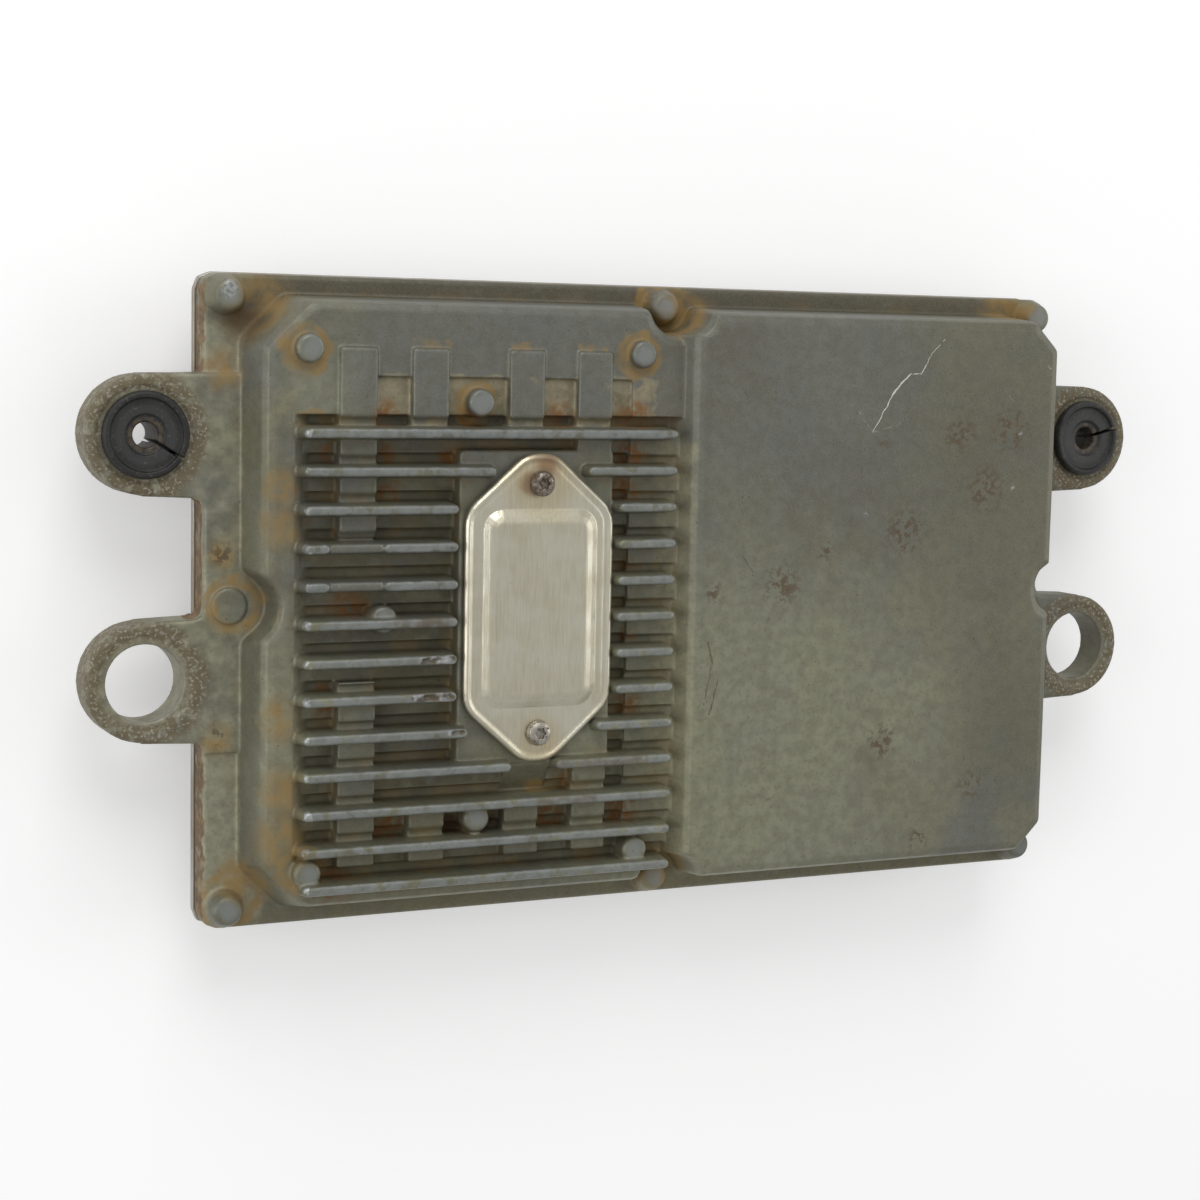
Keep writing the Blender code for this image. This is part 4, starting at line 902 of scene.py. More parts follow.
@dataclass(frozen=True)
class CastFinish:
    """Weathered cast aluminium: grey to olive skin with painted light and shade, dirt and painted shade in
    the gaps, rust halos and rubbed edges.
    """

    zone: Zone
    shelter: float = 5.0
    # Painted shade: grey spots that darken the top of the box and of the fin field.
    painted_shade_top: tuple[Spot, ...] = (
        Spot((34.0, 74.0, 43.0), 24.0, 60.0),
        Spot((-60.0, 78.0, 38.0), 20.0, 40.0),
        Spot((-20.0, 78.0, 38.0), 20.0, 30.0),
    )
    # Painted light: pale olive spots that lighten the lower part of the box and places at the left end of
    # the fins.
    pale: tuple[Spot, ...] = (
        Spot((22.0, -48.0, 43.0), 26.0, 66.0),
        Spot((70.0, -40.0, 43.0), 4.0, 40.0),
        Spot((-118.0, -30.0, 38.0), 6.0, 34.0),
        Spot((-106.0, 60.0, 38.0), 2.0, 18.0),
    )
    # Painted shade: spots that darken the right side of the box.
    shaded: tuple[Spot, ...] = (
        Spot((122.0, 44.0, 43.0), 18.0, 62.0),
        Spot((122.0, -40.0, 43.0), 4.0, 40.0),
    )
    brown_tints: tuple[Spot, ...] = (
        Spot((50.0, 22.0, 43.0), 5.0, 30.0),
        Spot((12.0, 70.0, 43.0), 4.0, 26.0),
        Spot((108.0, -10.0, 43.0), 2.0, 24.0),
        Spot((70.0, -50.0, 43.0), 2.0, 22.0),
        Spot((108.0, 48.0, 43.0), 4.0, 22.0),
    )
    halos: tuple[Spot, ...] = (
        Spot((6.0, 79.5, 29.0), 6.5, 6.0),
        Spot((2.0, -79.0, 29.0), 6.0, 6.0),
        Spot((-121.0, 80.5, 27.0), 4.0, 10.0),
        Spot((-124.5, -77.0, 27.0), 4.5, 6.0),
        Spot((-116.0, -64.0, 38.4), 2.0, 10.0),
        Spot((-117.5, 33.0, 38.4), 1.5, 6.0),
        Spot((-117.5, 22.0, 38.4), 1.5, 7.0),
        Spot((-117.0, -30.0, 38.4), 1.0, 8.0),
        Spot((-117.0, -50.0, 38.4), 1.0, 8.0),
        Spot((-131.0, 64.0, 27.0), 1.0, 8.0),
        Spot((121.0, 85.0, 29.0), 4.0, 9.0),
        Spot((-131.0, 14.0, 27.0), 1.0, 5.0),
        Spot((-132.0, -37.0, 27.0), 1.0, 6.0),
    )
    crescents: tuple[Region, ...] = (
        Region((-81.6, 69.9, 37.6), (-68.8, 73.6, 39.2), 1.4),
        Region((-51.4, 70.0, 37.6), (-41.0, 73.0, 39.2), 1.2),
        Region((-31.0, 70.0, 37.6), (-21.0, 72.6, 39.2), 1.1),
        Region((-113.0, 50.6, 37.0), (-101.0, 54.0, 39.2), 1.3),
        Region((-45.0, -60.5, 33.2), (-31.0, -50.5, 38.0), 2.4),
    )
    halo_rings: tuple[Ring, ...] = (
        Ring((-110.9, 69.5), 5.4, 6.2, 30.0, 39.8),
        Ring((-11.8, 69.7), 5.2, 5.6, 30.0, 39.8),
        Ring((-60.9, 55.6), 5.0, 4.0, 30.0, 38.4),
        Ring((-110.8, -72.4), 5.2, 6.4, 30.0, 39.8),
        Ring((-127.6, 0.4), 6.6, 5.4, 20.0, 38.6),
        Ring((-129.2, -82.4), 7.6, 4.6, 20.0, 28.4),
        Ring((1.2, 83.0), 8.2, 4.8, 20.0, 33.0),
    )
    rusty_spots: tuple[Spot, ...] = (
        Spot((-87.0, 41.5, 34.2), 1.6, 3.6),
        Spot((-68.0, 41.0, 34.2), 1.4, 3.8),
        Spot((-12.0, 41.5, 34.2), 3.0, 4.0),
        Spot((-15.0, 31.0, 34.2), 2.5, 4.5),
        Spot((-86.0, 31.0, 34.2), 1.2, 4.0),
        Spot((-104.0, -26.0, 34.2), 1.8, 4.5),
        Spot((-97.0, -0.5, 34.2), 2.2, 6.0),
        Spot((-12.0, -31.0, 34.2), 2.0, 4.0),
        Spot((-30.0, -54.0, 35.0), 1.6, 3.6),
        Spot((-101.0, -77.5, 35.0), 2.6, 5.0),
        Spot((-86.0, -62.0, 34.2), 2.6, 4.0),
        Spot((-67.0, -63.0, 34.2), 1.6, 3.4),
        Spot((-36.0, -62.0, 34.2), 2.2, 4.0),
        Spot((-14.0, -62.0, 34.2), 3.0, 5.0),
        Spot((-88.0, 52.5, 38.0), 1.6, 4.6),
        Spot((-62.0, 51.5, 37.4), 1.6, 4.6),
        Spot((-36.0, 52.0, 38.0), 1.6, 4.6),
        Spot((-12.0, 52.0, 38.0), 2.6, 4.6),
        Spot((-104.0, 42.0, 34.2), 0.6, 3.4),
        Spot((-100.5, 20.5, 34.2), 0.3, 2.4),
        Spot((-12.0, -10.0, 34.2), 0.8, 4.0),
        Spot((-12.0, 10.0, 34.2), 0.8, 4.0),
    )
    pads: tuple[Region, ...] = (
        Region((-97.0, 49.0, 36.4), (-90.5, 53.2, 38.3), 1.2),
        Region((-91.0, 49.0, 36.0), (-80.0, 51.6, 38.3), 1.2),
        Region((-70.0, 49.0, 36.0), (-51.0, 53.0, 38.3), 1.4),
        Region((-41.5, 49.0, 36.0), (-30.5, 54.4, 38.3), 1.4),
        Region((-20.5, 49.0, 36.0), (-3.0, 54.0, 38.3), 1.6),
        Region((-114.0, 49.4, 36.0), (-101.0, 53.0, 39.2), 1.4),
    )
    dark_spots: tuple[Spot, ...] = (
        Spot((-66.5, -62.5, 34.4), 2.2, 2.8),
        Spot((-55.5, -62.0, 34.4), 1.4, 2.6),
        Spot((-124.5, 77.5, 28.0), 1.0, 9.0),
        Spot((131.0, -82.0, 27.0), 3.0, 6.0),
    )
    crusts: tuple[Spot, ...] = (
        Spot((68.0, 44.0, 43.6), 0.6, 3.4),
        Spot((94.5, 47.7, 43.6), 1.5, 7.0),
        Spot((112.6, 49.3, 43.6), 2.0, 8.0),
        Spot((104.3, 31.0, 43.6), 2.0, 8.0),
        Spot((76.0, 19.1, 43.6), 2.0, 8.0),
        Spot((48.4, 13.5, 43.6), 0.5, 3.5),
        Spot((34.0, 3.0, 43.6), 1.5, 7.0),
        Spot((70.0, -45.0, 43.6), 1.5, 6.0),
        Spot((103.0, -60.0, 43.6), 1.5, 5.0),
        Spot((12.0, 1.5, 43.6), 0.8, 3.5),
        Spot((-131.0, 14.0, 26.9), 0.8, 4.0),
        Spot((-133.0, -36.0, 26.9), 0.8, 4.0),
        Spot((148.0, 33.0, 28.1), 3.0, 8.0),
        Spot((-152.0, 33.0, 28.1), 2.0, 8.0),
        Spot((-105.0, -66.0, 38.4), 0.5, 4.0),
        Spot((84.0, -76.0, 43.6), 1.0, 4.0),
    )
    bare_spots: tuple[Spot, ...] = (
        Spot((-130.2, 85.0, 32.3), 1.4, 1.6),
        Spot((126.8, 69.0, 43.6), 0.5, 0.5),
        Spot((116.5, 48.0, 43.6), 0.2, 1.4),
        Spot((114.0, 32.0, 43.6), 0.2, 1.2),
        Spot((62.5, 23.5, 43.6), 0.1, 0.6),
    )
    white_scratch: tuple[Line, ...] = (
        Line((63.7, 48.5, 43.6), (67.5, 55.0, 43.6), 0.36),
        Line((67.5, 55.0, 43.6), (70.0, 59.5, 43.6), 0.50),
        Line((70.0, 59.5, 43.6), (73.0, 63.0, 43.6), 0.70),
        Line((73.0, 63.0, 43.6), (76.5, 66.0, 43.6), 0.62),
        Line((76.5, 66.0, 43.6), (80.0, 66.0, 43.6), 0.36),
        Line((80.0, 66.0, 43.6), (83.5, 72.0, 43.6), 0.30),
        Line((83.5, 72.0, 43.6), (88.0, 76.5, 43.6), 0.26),
    )
    faint_scratches: tuple[Line, ...] = (
        Line((63.7, 48.5, 43.6), (72.0, 50.5, 43.6), 0.36),
        Line((72.0, 50.5, 43.6), (79.0, 57.0, 43.6), 0.30),
        Line((58.0, 55.0, 43.6), (63.7, 48.5, 43.6), 0.34),
        Line((55.0, 57.0, 43.6), (60.0, 53.5, 43.6), 0.34),
        Line((51.0, 63.0, 43.6), (58.0, 62.0, 43.6), 0.28),
        Line((74.0, 35.0, 43.6), (79.0, 35.5, 43.6), 0.30),
        Line((110.0, 62.0, 43.6), (115.0, 56.0, 43.6), 0.26),
    )
    brown_scratches: tuple[Line, ...] = (
        Line((10.0, -13.0, 43.6), (11.5, -19.0, 43.6), 0.9),
        Line((11.5, -19.0, 43.6), (9.0, -31.0, 43.6), 0.5),
        Line((9.0, -31.0, 43.6), (7.5, -39.0, 43.6), 0.34),
        Line((13.5, -24.0, 43.6), (11.0, -34.0, 43.6), 0.7),
        Line((21.0, 12.0, 43.6), (24.0, 7.5, 43.6), 0.40),
        Line((30.0, -6.0, 43.6), (28.5, -10.0, 43.6), 0.40),
        Line((24.0, -62.0, 43.6), (34.0, -60.0, 43.6), 0.36),
    )
    gouge: tuple[Line, ...] = (
        Line((64.0, -83.4, 43.2), (90.0, -82.6, 43.2), 2.2),
        Line((90.0, -82.6, 43.2), (112.0, -83.2, 43.0), 3.0),
        Line((112.0, -83.2, 43.0), (124.0, -83.8, 43.0), 3.4),
    )
    chips: tuple[Line, ...] = (
        Line((-79.0, -14.8, 44.6), (-69.5, -14.6, 44.6), 3.0),
        Line((-81.0, -25.2, 44.6), (-69.5, -25.0, 44.6), 3.2),
        Line((-70.5, -35.4, 44.6), (-66.0, -35.3, 44.6), 2.2),
    )
    rusty_top: tuple[Region, ...] = (
        Region((-88.5, -7.5, 43.0), (-70.0, -2.0, 46.0), 1.2),
        Region((-40.0, -49.5, 43.0), (-8.0, -43.0, 46.0), 2.0),
        Region((-44.0, -60.0, 43.0), (-24.0, -54.0, 46.0), 2.0),
    )
    small_flat: Point3 = (8.4, 40.4, 43.0)
    flange_flat: Point3 = (8.6, 30.4, 33.0)
    dirty_floors: tuple[Region, ...] = (
        Region((-115.5, -80.0, 30.0), (-1.0, 46.5, 36.6), 1.0),
        Region((-70.0, 45.0, 30.0), (-4.0, 60.0, 37.6), 0.6),
    )
    rusty_side: tuple[Region, ...] = (Region((-140.0, -90.0, 15.0), (-135.0, 90.0, 26.4), 0.5),)
    bright_ends: tuple[Region, ...] = (Region((-113.5, -82.0, 42.6), (-110.6, 50.0, 45.2), 0.7),)
    knocked_ends: tuple[Region, ...] = (Region((-11.0, -80.0, 43.4), (-0.5, 36.0, 45.2), 2.0),)
    washes: tuple[tuple[Rgb, tuple[Region, ...], bool, float], ...] = (
        (FIN_TOP, (Region((-116.0, -82.0, 43.9), (-0.5, 50.0, 46.0), 0.4),), False, 0.85),
        (PALE_FLANGE, (Region((-170.0, -92.0, 12.0), (-118.0, 78.0, 29.4), 3.0),), False, 0.80),
        (OLIVE, (Region((118.0, -92.0, 12.0), (170.0, 92.0, 29.4), 3.0),), False, 0.50),
        (TOP_STRIP, (Region((-124.0, 80.0, 24.0), (126.0, 95.0, 31.0), 3.0),), False, 0.80),
        (LOW_STRIP, (Region((-128.0, -95.0, 24.0), (126.0, -84.0, 31.0), 3.0),), False, 0.70),
        (PALE_LEDGE, (Region((-91.0, 49.0, 35.4), (-5.0, 63.5, 39.2), 1.0),), False, 0.80),
        (TAN_RAMP, (Region((-122.0, -84.0, 33.0), (-111.5, 60.0, 39.4), 3.0),), True, 0.70),
        # Painted shade: darkens the lower part of the leaning left wall.
        (SHADED, (Region((-137.0, -84.0, 27.4), (-121.5, -6.0, 38.2), 2.0),), False, 0.55),
        (TAN_WALL, (Region((-6.0, -82.0, 33.0), (6.5, 46.0, 45.0), 2.4),), False, 0.60),
    )

    def material(self, effects: Effects) -> bpy.types.Material:
        """Builds the material.

        Args:
            effects: The shared node groups.

        Returns:
            The material.
        """
        paint = Paint(f"aged_casting_{self.zone.name.lower()}", effects)
        paint.shake(5.0, 4.5)
        grain = paint.grain(0.45)
        open_sky = paint.openness(self.shelter)
        skin = self.skin(paint, grain)
        dirt = self.dirt_and_shade_mask(paint, open_sky)
        # Dirt colour, also painted shade in corners and gaps.
        colour = paint.layer(skin, DIRT_AND_SHADE, dirt)
        colour, rust = self.rust_layers(paint, colour, open_sky)
        colour = paint.layer(colour, BOSS_TOP, paint.times(self.boss_tops(paint), 0.80))
        bare = self.bare_mask(paint, open_sky)
        colour = paint.layer(colour, BARE, bare)
        colour = self.marks(paint, colour)
        pits = paint.specks(2.0, 0.07)
        colour = paint.layer(colour, DARK_RUST, paint.times(pits, 0.55))
        paint.feed("Base Color", colour)
        matt = paint.tree.math("MAXIMUM", dirt, rust)
        roughness = paint.tree.blend_value(matt, 0.46, 0.86)
        paint.feed("Roughness", paint.tree.blend_value(bare, roughness, 0.36))
        paint.feed("Metallic", paint.tree.blend_value(matt, 0.42, 0.02))
        lowered = paint.tree.math("SUBTRACT", grain.outputs["Height"], paint.times(pits, 0.6))
        paint.bump(lowered, 0.10)
        return paint.material

    def here(self, marks: tuple[Mark, ...]) -> tuple[Mark, ...]:
        """Returns the marks that reach this zone."""
        return tuple(mark for mark in marks if mark.reaches(self.zone))

    def skin(self, paint: Paint, grain: bpy.types.Node) -> Feed:
        """Mixes the skin from grey and olive, by place and by patches, with painted light and shade across
        the box.

        Args:
            paint: The material in the making.
            grain: The fine grain's node.

        Returns:
            The skin's colour.
        """
        colour = paint.tree.blend(paint.patches(26.0, 0.30, 0.60), rgba(GREY), rgba(OLIVE))
        # Painted light and shade: a lighter lower left, a darker top and a darker right side.
        for tone, places, share in (
            (PAINTED_LIGHT_OLIVE, self.pale, 0.75),
            (GREY, self.painted_shade_top, 0.80),
            (SHADED, self.shaded, 0.62),
        ):
            colour = paint.layer(colour, tone, paint.times(paint.spots(self.here(places)), share))
        clouds = paint.patches(9.0, 0.3, 0.7)
        browned = paint.times(paint.spots(self.here(self.brown_tints)), clouds, 0.42)
        colour = paint.layer(colour, BROWN_CLOUD, browned)
        for tone, places, mottled, share in self.washes:
            wash = paint.regions(self.here(places))
            wash = paint.times(wash, clouds, share) if mottled else paint.times(wash, share)
            colour = paint.layer(colour, tone, wash)
        mottle = paint.patches(3.4, 0.32, 0.68)
        colour = paint.layer(colour, GREY_MOTTLE, paint.times(mottle, 0.34))
        dust = paint.patches(1.2, 0.50, 0.72)
        colour = paint.layer(colour, BROWN_DUST, paint.times(dust, 0.30))
        pale_grain = paint.times(grain.outputs["Tone"], 0.14)
        return paint.layer(colour, PALE_GRAIN, pale_grain)

    def boss_tops(self, paint: Paint) -> Feed:
        """Finds the flat tops of the bosses, which stay clean.

        Args:
            paint: The material in the making.

        Returns:
            The mask.
        """
        small = tuple(Ring(centre, 0.0, *self.small_flat) for centre in SMALL_BOSSES)
        large = tuple(Ring(centre, 0.0, *self.flange_flat) for centre in FLANGE_BOSSES)
        return paint.rings(self.here(small + large))

    def dirt_and_shade_mask(self, paint: Paint, open_sky: Feed) -> Feed:
        """Finds where the dark dirt colour goes: in every sheltered corner, where it is painted shade as
        well as dirt, and in patches all over the floor between the fins.

        Args:
            paint: The material in the making.
            open_sky: How open each point is.

        Returns:
            The mask.
        """
        # Painted shade and dirt: darkening by openness in every corner and gap.
        near = paint.times(paint.sheltered(open_sky, 0.86), 0.80)
        floors = paint.regions(self.here(self.dirty_floors))
        floor = paint.times(floors, paint.patches(11.0, 0.22, 0.62), 0.50)
        return paint.most((near, floor))

    def rust_layers(self, paint: Paint, colour: Feed, open_sky: Feed) -> tuple[Feed, Feed]:
        """Lays the ochre halos, the rust in the gaps and the crusts.

        Args:
            paint: The material in the making.
            colour: The colour so far.
            open_sky: How open each point is.

        Returns:
            The colour with the rust on it, and the mask of all of it.
        """
        uneven = paint.patches(4.6, 0.18, 0.60)
        thin = paint.times(paint.sheltered(open_sky, 0.78, 0.40), paint.patches(8.0, 0.44, 0.62), 0.50)
        halo = paint.higher(paint.spots(self.here(self.halos)), paint.rings(self.here(self.halo_rings)))
        crescents = paint.times(paint.regions(self.here(self.crescents)), 0.8)
        ochre = paint.most((paint.times(halo, uneven, 0.80), crescents, thin))
        colour = paint.layer(colour, OCHRE, ochre)
        fine = paint.patches(2.4, 0.28, 0.60)
        bands = paint.times(paint.regions(self.here(self.pads)), fine, 0.70)
        colour = paint.layer(colour, BAND_RUST, bands)
        rust = paint.times(paint.spots(self.here(self.rusty_spots)), fine, 0.80)
        colour = paint.layer(colour, RUST, rust)
        dark = paint.times(paint.spots(self.here(self.dark_spots)), 0.85)
        colour = paint.layer(colour, DARK_RUST, dark)
        broken = paint.patches(1.7, 0.48, 0.58)
        crust = paint.times(paint.spots(self.here(self.crusts)), broken, 0.90)
        top = paint.times(paint.regions(self.here(self.rusty_top)), paint.patches(5.0, 0.36, 0.58), 0.75)
        crusted = paint.most((crust, top))
        colour = paint.layer(colour, CRUST, crusted)
        side = paint.regions(self.here(self.rusty_side))
        edge = paint.times(side, paint.patches(5.0, 0.22, 0.50), 0.92)
        colour = paint.layer(colour, EDGE_RUST, edge)
        colour = paint.layer(colour, CRUST, paint.times(edge, fine, 0.8))
        worn = self.worn_ears(paint)
        browned = paint.times(worn, paint.patches(2.4, 0.25, 0.55), 0.85)
        colour = paint.layer(colour, EAR_BROWN, browned)
        grit = paint.times(worn, paint.patches(0.9, 0.54, 0.64), 0.8)
        colour = paint.layer(colour, EAR_GRIT, grit)
        return colour, paint.most((ochre, bands, rust, dark, crusted, edge, paint.times(worn, 0.5)))

    def worn_ears(self, paint: Paint) -> Feed:
        """Finds the pitted faces of the ears, round their holes.

        Args:
            paint: The material in the making.

        Returns:
            The mask.
        """
        middle = 0.5 * (EAR_HOLE + EAR_RADIUS) + 1.0
        rings = tuple(Ring(centre, middle, 9.0, 12.0, EAR_HIGH) for centre in EAR_CENTRES)
        return paint.rings(self.here(rings))

    def bare_mask(self, paint: Paint, open_sky: Feed) -> Feed:
        """Finds where the metal is rubbed bare: edges, fin ends and a few spots.

        Args:
            paint: The material in the making.
            open_sky: How open each point is.

        Returns:
            The mask.
        """
        edges = paint.times(paint.edges(open_sky, 0.8, 9.0, 0.62), 0.60)
        ends = paint.regions(self.here(self.bright_ends))
        bright_ends = paint.times(ends, paint.patches(2.2, 0.44, 0.56), 0.9)
        knocks = paint.regions(self.here(self.knocked_ends))
        knocked = paint.times(knocks, paint.patches(3.0, 0.52, 0.62), 0.8)
        bits = paint.patches(1.0, 0.44, 0.54)
        spots = paint.times(paint.spots(self.here(self.bare_spots)), bits, 0.65)
        return paint.most((edges, bright_ends, knocked, spots))

    def marks(self, paint: Paint, colour: Feed) -> Feed:
        """Lays the scratches, the chips and the gouge, read at a point that is shaken less.

        Args:
            paint: The material in the making.
            colour: The colour so far.

        Returns:
            The colour with the marks on it.
        """
        paint.shake(2.2, 0.9)
        chip = paint.lines(self.here(self.chips))
        colour = paint.layer(colour, DARK_RUST, paint.times(chip, 0.8))
        colour = paint.layer(colour, BARE, paint.times(chip, paint.patches(3.4, 0.40, 0.56), 0.8))
        gouge = paint.times(paint.lines(self.here(self.gouge)), paint.patches(2.6, 0.30, 0.48))
        colour = paint.layer(colour, GOUGE_BROWN, paint.times(gouge, 0.95))
        brown = paint.times(paint.lines(self.here(self.brown_scratches)), 0.62)
        colour = paint.layer(colour, SCRATCH_BROWN, brown)
        faint = paint.lines(self.here(self.faint_scratches))
        broken = paint.times(faint, paint.patches(1.6, 0.40, 0.60), 0.45)
        colour = paint.layer(colour, SCRATCH_PALE, broken)
        white = paint.times(paint.lines(self.here(self.white_scratch)), 0.9)
        return paint.layer(colour, SCRATCH_WHITE, white)


@dataclass(frozen=True)
class SheetFinish:
    """Plated or bare steel sheet with rolling streaks, stains, pits and rubbed edges, with painted shade in
    its corners; on the port cover the bright edge colour is also a painted rim highlight.
    """

    name: str
    metal: Rgb
    stain: Rgb
    edge: Rgb
    stain_size: float
    stain_share: float
    roughness: float
    rust_spots: tuple[Spot, ...] = ()
    yellowed: tuple[Spot, ...] = ()

    def material(self, effects: Effects) -> bpy.types.Material:
        """Builds the material.

        Args:
            effects: The shared node groups.

        Returns:
            The material.
        """
        paint = Paint(self.name, effects)
        paint.shake(3.0, 2.4)
        feeds = {"Point": paint.point, "Size": 0.5, "Stretch": 14.0}
        streaks = paint.tree.effect(effects.streaks, feeds).outputs["Mask"]
        mottle = paint.patches(self.stain_size, 0.34, 0.68)
        open_sky = paint.openness(2.6)
        # Painted shade and dirt: the stain colour darkens corners and the gutter inside the rim.
        dirt = paint.times(paint.sheltered(open_sky, 0.80), 0.75)
        stain = paint.most((paint.times(mottle, self.stain_share), dirt))
        colour = paint.layer(rgba(self.metal), self.stain, stain)
        colour = paint.layer(colour, SHEET_YELLOW, paint.times(paint.spots(self.yellowed), 0.60))
        lighter = tuple(min(1.0, 1.25 * part) for part in self.metal)
        colour = paint.layer(colour, lighter, paint.times(streaks, 0.30))
        # Edge colour on open outer edges: wear, and on the port cover a painted highlight along the rim.
        edges = paint.times(paint.edges(open_sky, 1.1, 7.0, 0.90), 0.85)
        colour = paint.layer(colour, self.edge, edges)
        pits = paint.times(paint.specks(1.1, 0.03), 0.6)
        colour = paint.layer(colour, DARK_RUST, pits)
        rust = paint.times(paint.spots(self.rust_spots), 0.8) if self.rust_spots else pits
        colour = paint.layer(colour, SHEET_RUST, rust)
        paint.feed("Base Color", colour)
        rough = paint.tree.blend_value(stain, self.roughness, self.roughness + 0.22)
        paint.feed("Roughness", paint.tree.blend_value(rust, rough, 0.8))
        paint.feed("Metallic", paint.tree.blend_value(rust, 0.88, 0.1))
        fine = paint.grain(0.5).outputs["Height"]
        height = paint.tree.math("ADD", fine, paint.times(streaks, 0.35))
        paint.bump(paint.tree.math("SUBTRACT", height, pits), 0.035)
        return paint.material


@dataclass(frozen=True)
class SteelFinish:
    """Plated steel screws with rust in their recesses."""

    name: str
    metal: Rgb
    rust: Rgb
    rust_low: float
    rust_high: float

    def material(self, effects: Effects) -> bpy.types.Material:
        """Builds the material.

        Args:
            effects: The shared node groups.

        Returns:
            The material.
        """
        paint = Paint(self.name, effects)
        open_sky = paint.openness(1.6)
        deep = paint.sheltered(open_sky, 0.82)
        patchy = paint.patches(1.1, self.rust_low, self.rust_high)
        rust = paint.most((deep, paint.times(patchy, 0.85)))
        colour = paint.layer(rgba(self.metal), self.rust, rust)
        colour = paint.layer(colour, BARE, paint.times(paint.edges(open_sky, 0.25, 2.0, 0.6), 0.8))
        paint.feed("Base Color", colour)
        paint.feed("Roughness", paint.tree.blend_value(rust, 0.34, 0.78))
        paint.feed("Metallic", paint.tree.blend_value(rust, 0.95, 0.25))
        paint.bump(paint.times(paint.grain(0.25).outputs["Height"], 1.0), 0.04)
        return paint.material


@dataclass(frozen=True)
class MattFinish:
    """A plastic, rubber or ceramic skin in two tones with a fine grain and dust."""

    name: str
    base: Rgb
    second: Rgb
    patch_size: float
    grain_size: float
    grain_depth: float
    roughness: float
    dust: Rgb = (0.20, 0.18, 0.14)
    dust_share: float = 0.0

    def material(self, effects: Effects) -> bpy.types.Material:
        """Builds the material.

        Args:
            effects: The shared node groups.

        Returns:
            The material.
        """
        paint = Paint(self.name, effects)
        mottle = paint.patches(self.patch_size, 0.34, 0.66)
        colour = paint.layer(rgba(self.base), self.second, mottle)
        dusty = paint.patches(self.patch_size * 0.6, 0.40, 0.70)
        deep = paint.sheltered(paint.openness(2.0), 0.8)
        dust = paint.times(paint.higher(deep, dusty), self.dust_share)
        colour = paint.layer(colour, self.dust, dust)
        grain = paint.grain(self.grain_size)
        paint.feed("Base Color", colour)
        paint.feed("Roughness", paint.tree.blend_value(mottle, self.roughness, self.roughness + 0.1))
        paint.bump(grain.outputs["Height"], self.grain_depth)
        return paint.material


@dataclass(frozen=True)
class RubberFinish:
    """Black moulded rubber with a groove round its dish, brown dirt round the bore and a cut slit; the
    groove and the slit are painted near-black, painted shade in the gaps.
    """

    name: str
    centre: tuple[float, float]
    slit_angle: float
    base: Rgb = (0.0105, 0.0102, 0.0095)
    sheen: Rgb = (0.019, 0.019, 0.018)
    dirt: Rgb = (0.086, 0.062, 0.036)
    rubbed: Rgb = (0.041, 0.043, 0.042)
    dust: Rgb = (0.130, 0.105, 0.075)
    # Near-black colour of the groove and the slit: painted shade.
    cut: Rgb = (0.004, 0.004, 0.004)
    low: float = 10.0
    high: float = 40.0

    def material(self, effects: Effects) -> bpy.types.Material:
        """Builds the material.

        Args:
            effects: The shared node groups.

        Returns:
            The material.
        """
        paint = Paint(self.name, effects)
        paint.shake(2.0, 0.25)
        colour = paint.layer(rgba(self.base), self.sheen, paint.patches(4.0, 0.35, 0.65))
        dish = paint.rings((Ring(self.centre, 7.0, 3.4, self.low, self.high),))
        colour = paint.layer(colour, self.rubbed, paint.times(dish, 0.5))
        bore = paint.rings((Ring(self.centre, GROMMET_BORE + 0.6, 2.4, self.low, self.high),))
        colour = paint.layer(colour, self.dirt, paint.times(bore, paint.patches(1.4, 0.35, 0.6), 0.8))
        dust = paint.times(paint.patches(0.8, 0.60, 0.68), 0.4)
        colour = paint.layer(colour, self.dust, dust)
        # Painted shade: the groove and the slit get the near-black colour.
        groove = paint.rings((Ring(self.centre, GROMMET_DISH - 0.1, 0.75, self.low, self.high),))
        black = paint.higher(groove, paint.lines((self.slit(),)))
        colour = paint.layer(colour, self.cut, paint.times(black, 0.95))
        paint.feed("Base Color", colour)
        paint.feed("Roughness", paint.tree.blend_value(dust, 0.50, 0.8))
        paint.bump(paint.grain(0.35).outputs["Height"], 0.05)
        return paint.material

    def slit(self) -> Line:
        """Places the cut from the bore to the rim.

        Returns:
            The cut.
        """
        along = np.array((np.cos(self.slit_angle), np.sin(self.slit_angle)))
        start, end = (np.array(self.centre) + reach * along for reach in (GROMMET_BORE, GROMMET_RIM))
        return Line((*start, 29.2), (*end, 30.2), 1.2)


@dataclass(frozen=True)
class PinFinish:
    """A black pin block whose tinned pins stand below the plate's face."""

    name: str = "pin_block"
    plate_low: float = 14.0
    tin: Rgb = (0.620, 0.600, 0.550)
    dull_tin: Rgb = (0.400, 0.380, 0.340)
    black: Rgb = (0.018, 0.018, 0.019)
    dusty_black: Rgb = (0.035, 0.034, 0.032)

    def material(self, effects: Effects) -> bpy.types.Material:
        """Builds the material.

        Args:
            effects: The shared node groups.

        Returns:
            The material.
        """
        paint = Paint(self.name, effects)
        plate = paint.regions((Region((-200.0, -200.0, self.plate_low - 0.05), (200.0, 200.0, 40.0), 0.1),))
        tin = paint.layer(rgba(self.tin), self.dull_tin, paint.patches(1.5, 0.4, 0.6))
        black = paint.layer(rgba(self.black), self.dusty_black, paint.patches(4.0, 0.4, 0.6))
        paint.feed("Base Color", paint.tree.blend(plate, tin, black))
        paint.feed("Roughness", paint.tree.blend_value(plate, 0.28, 0.5))
        paint.feed("Metallic", paint.tree.math("SUBTRACT", 1.0, plate))
        paint.bump(paint.grain(0.3).outputs["Height"], 0.02)
        return paint.material


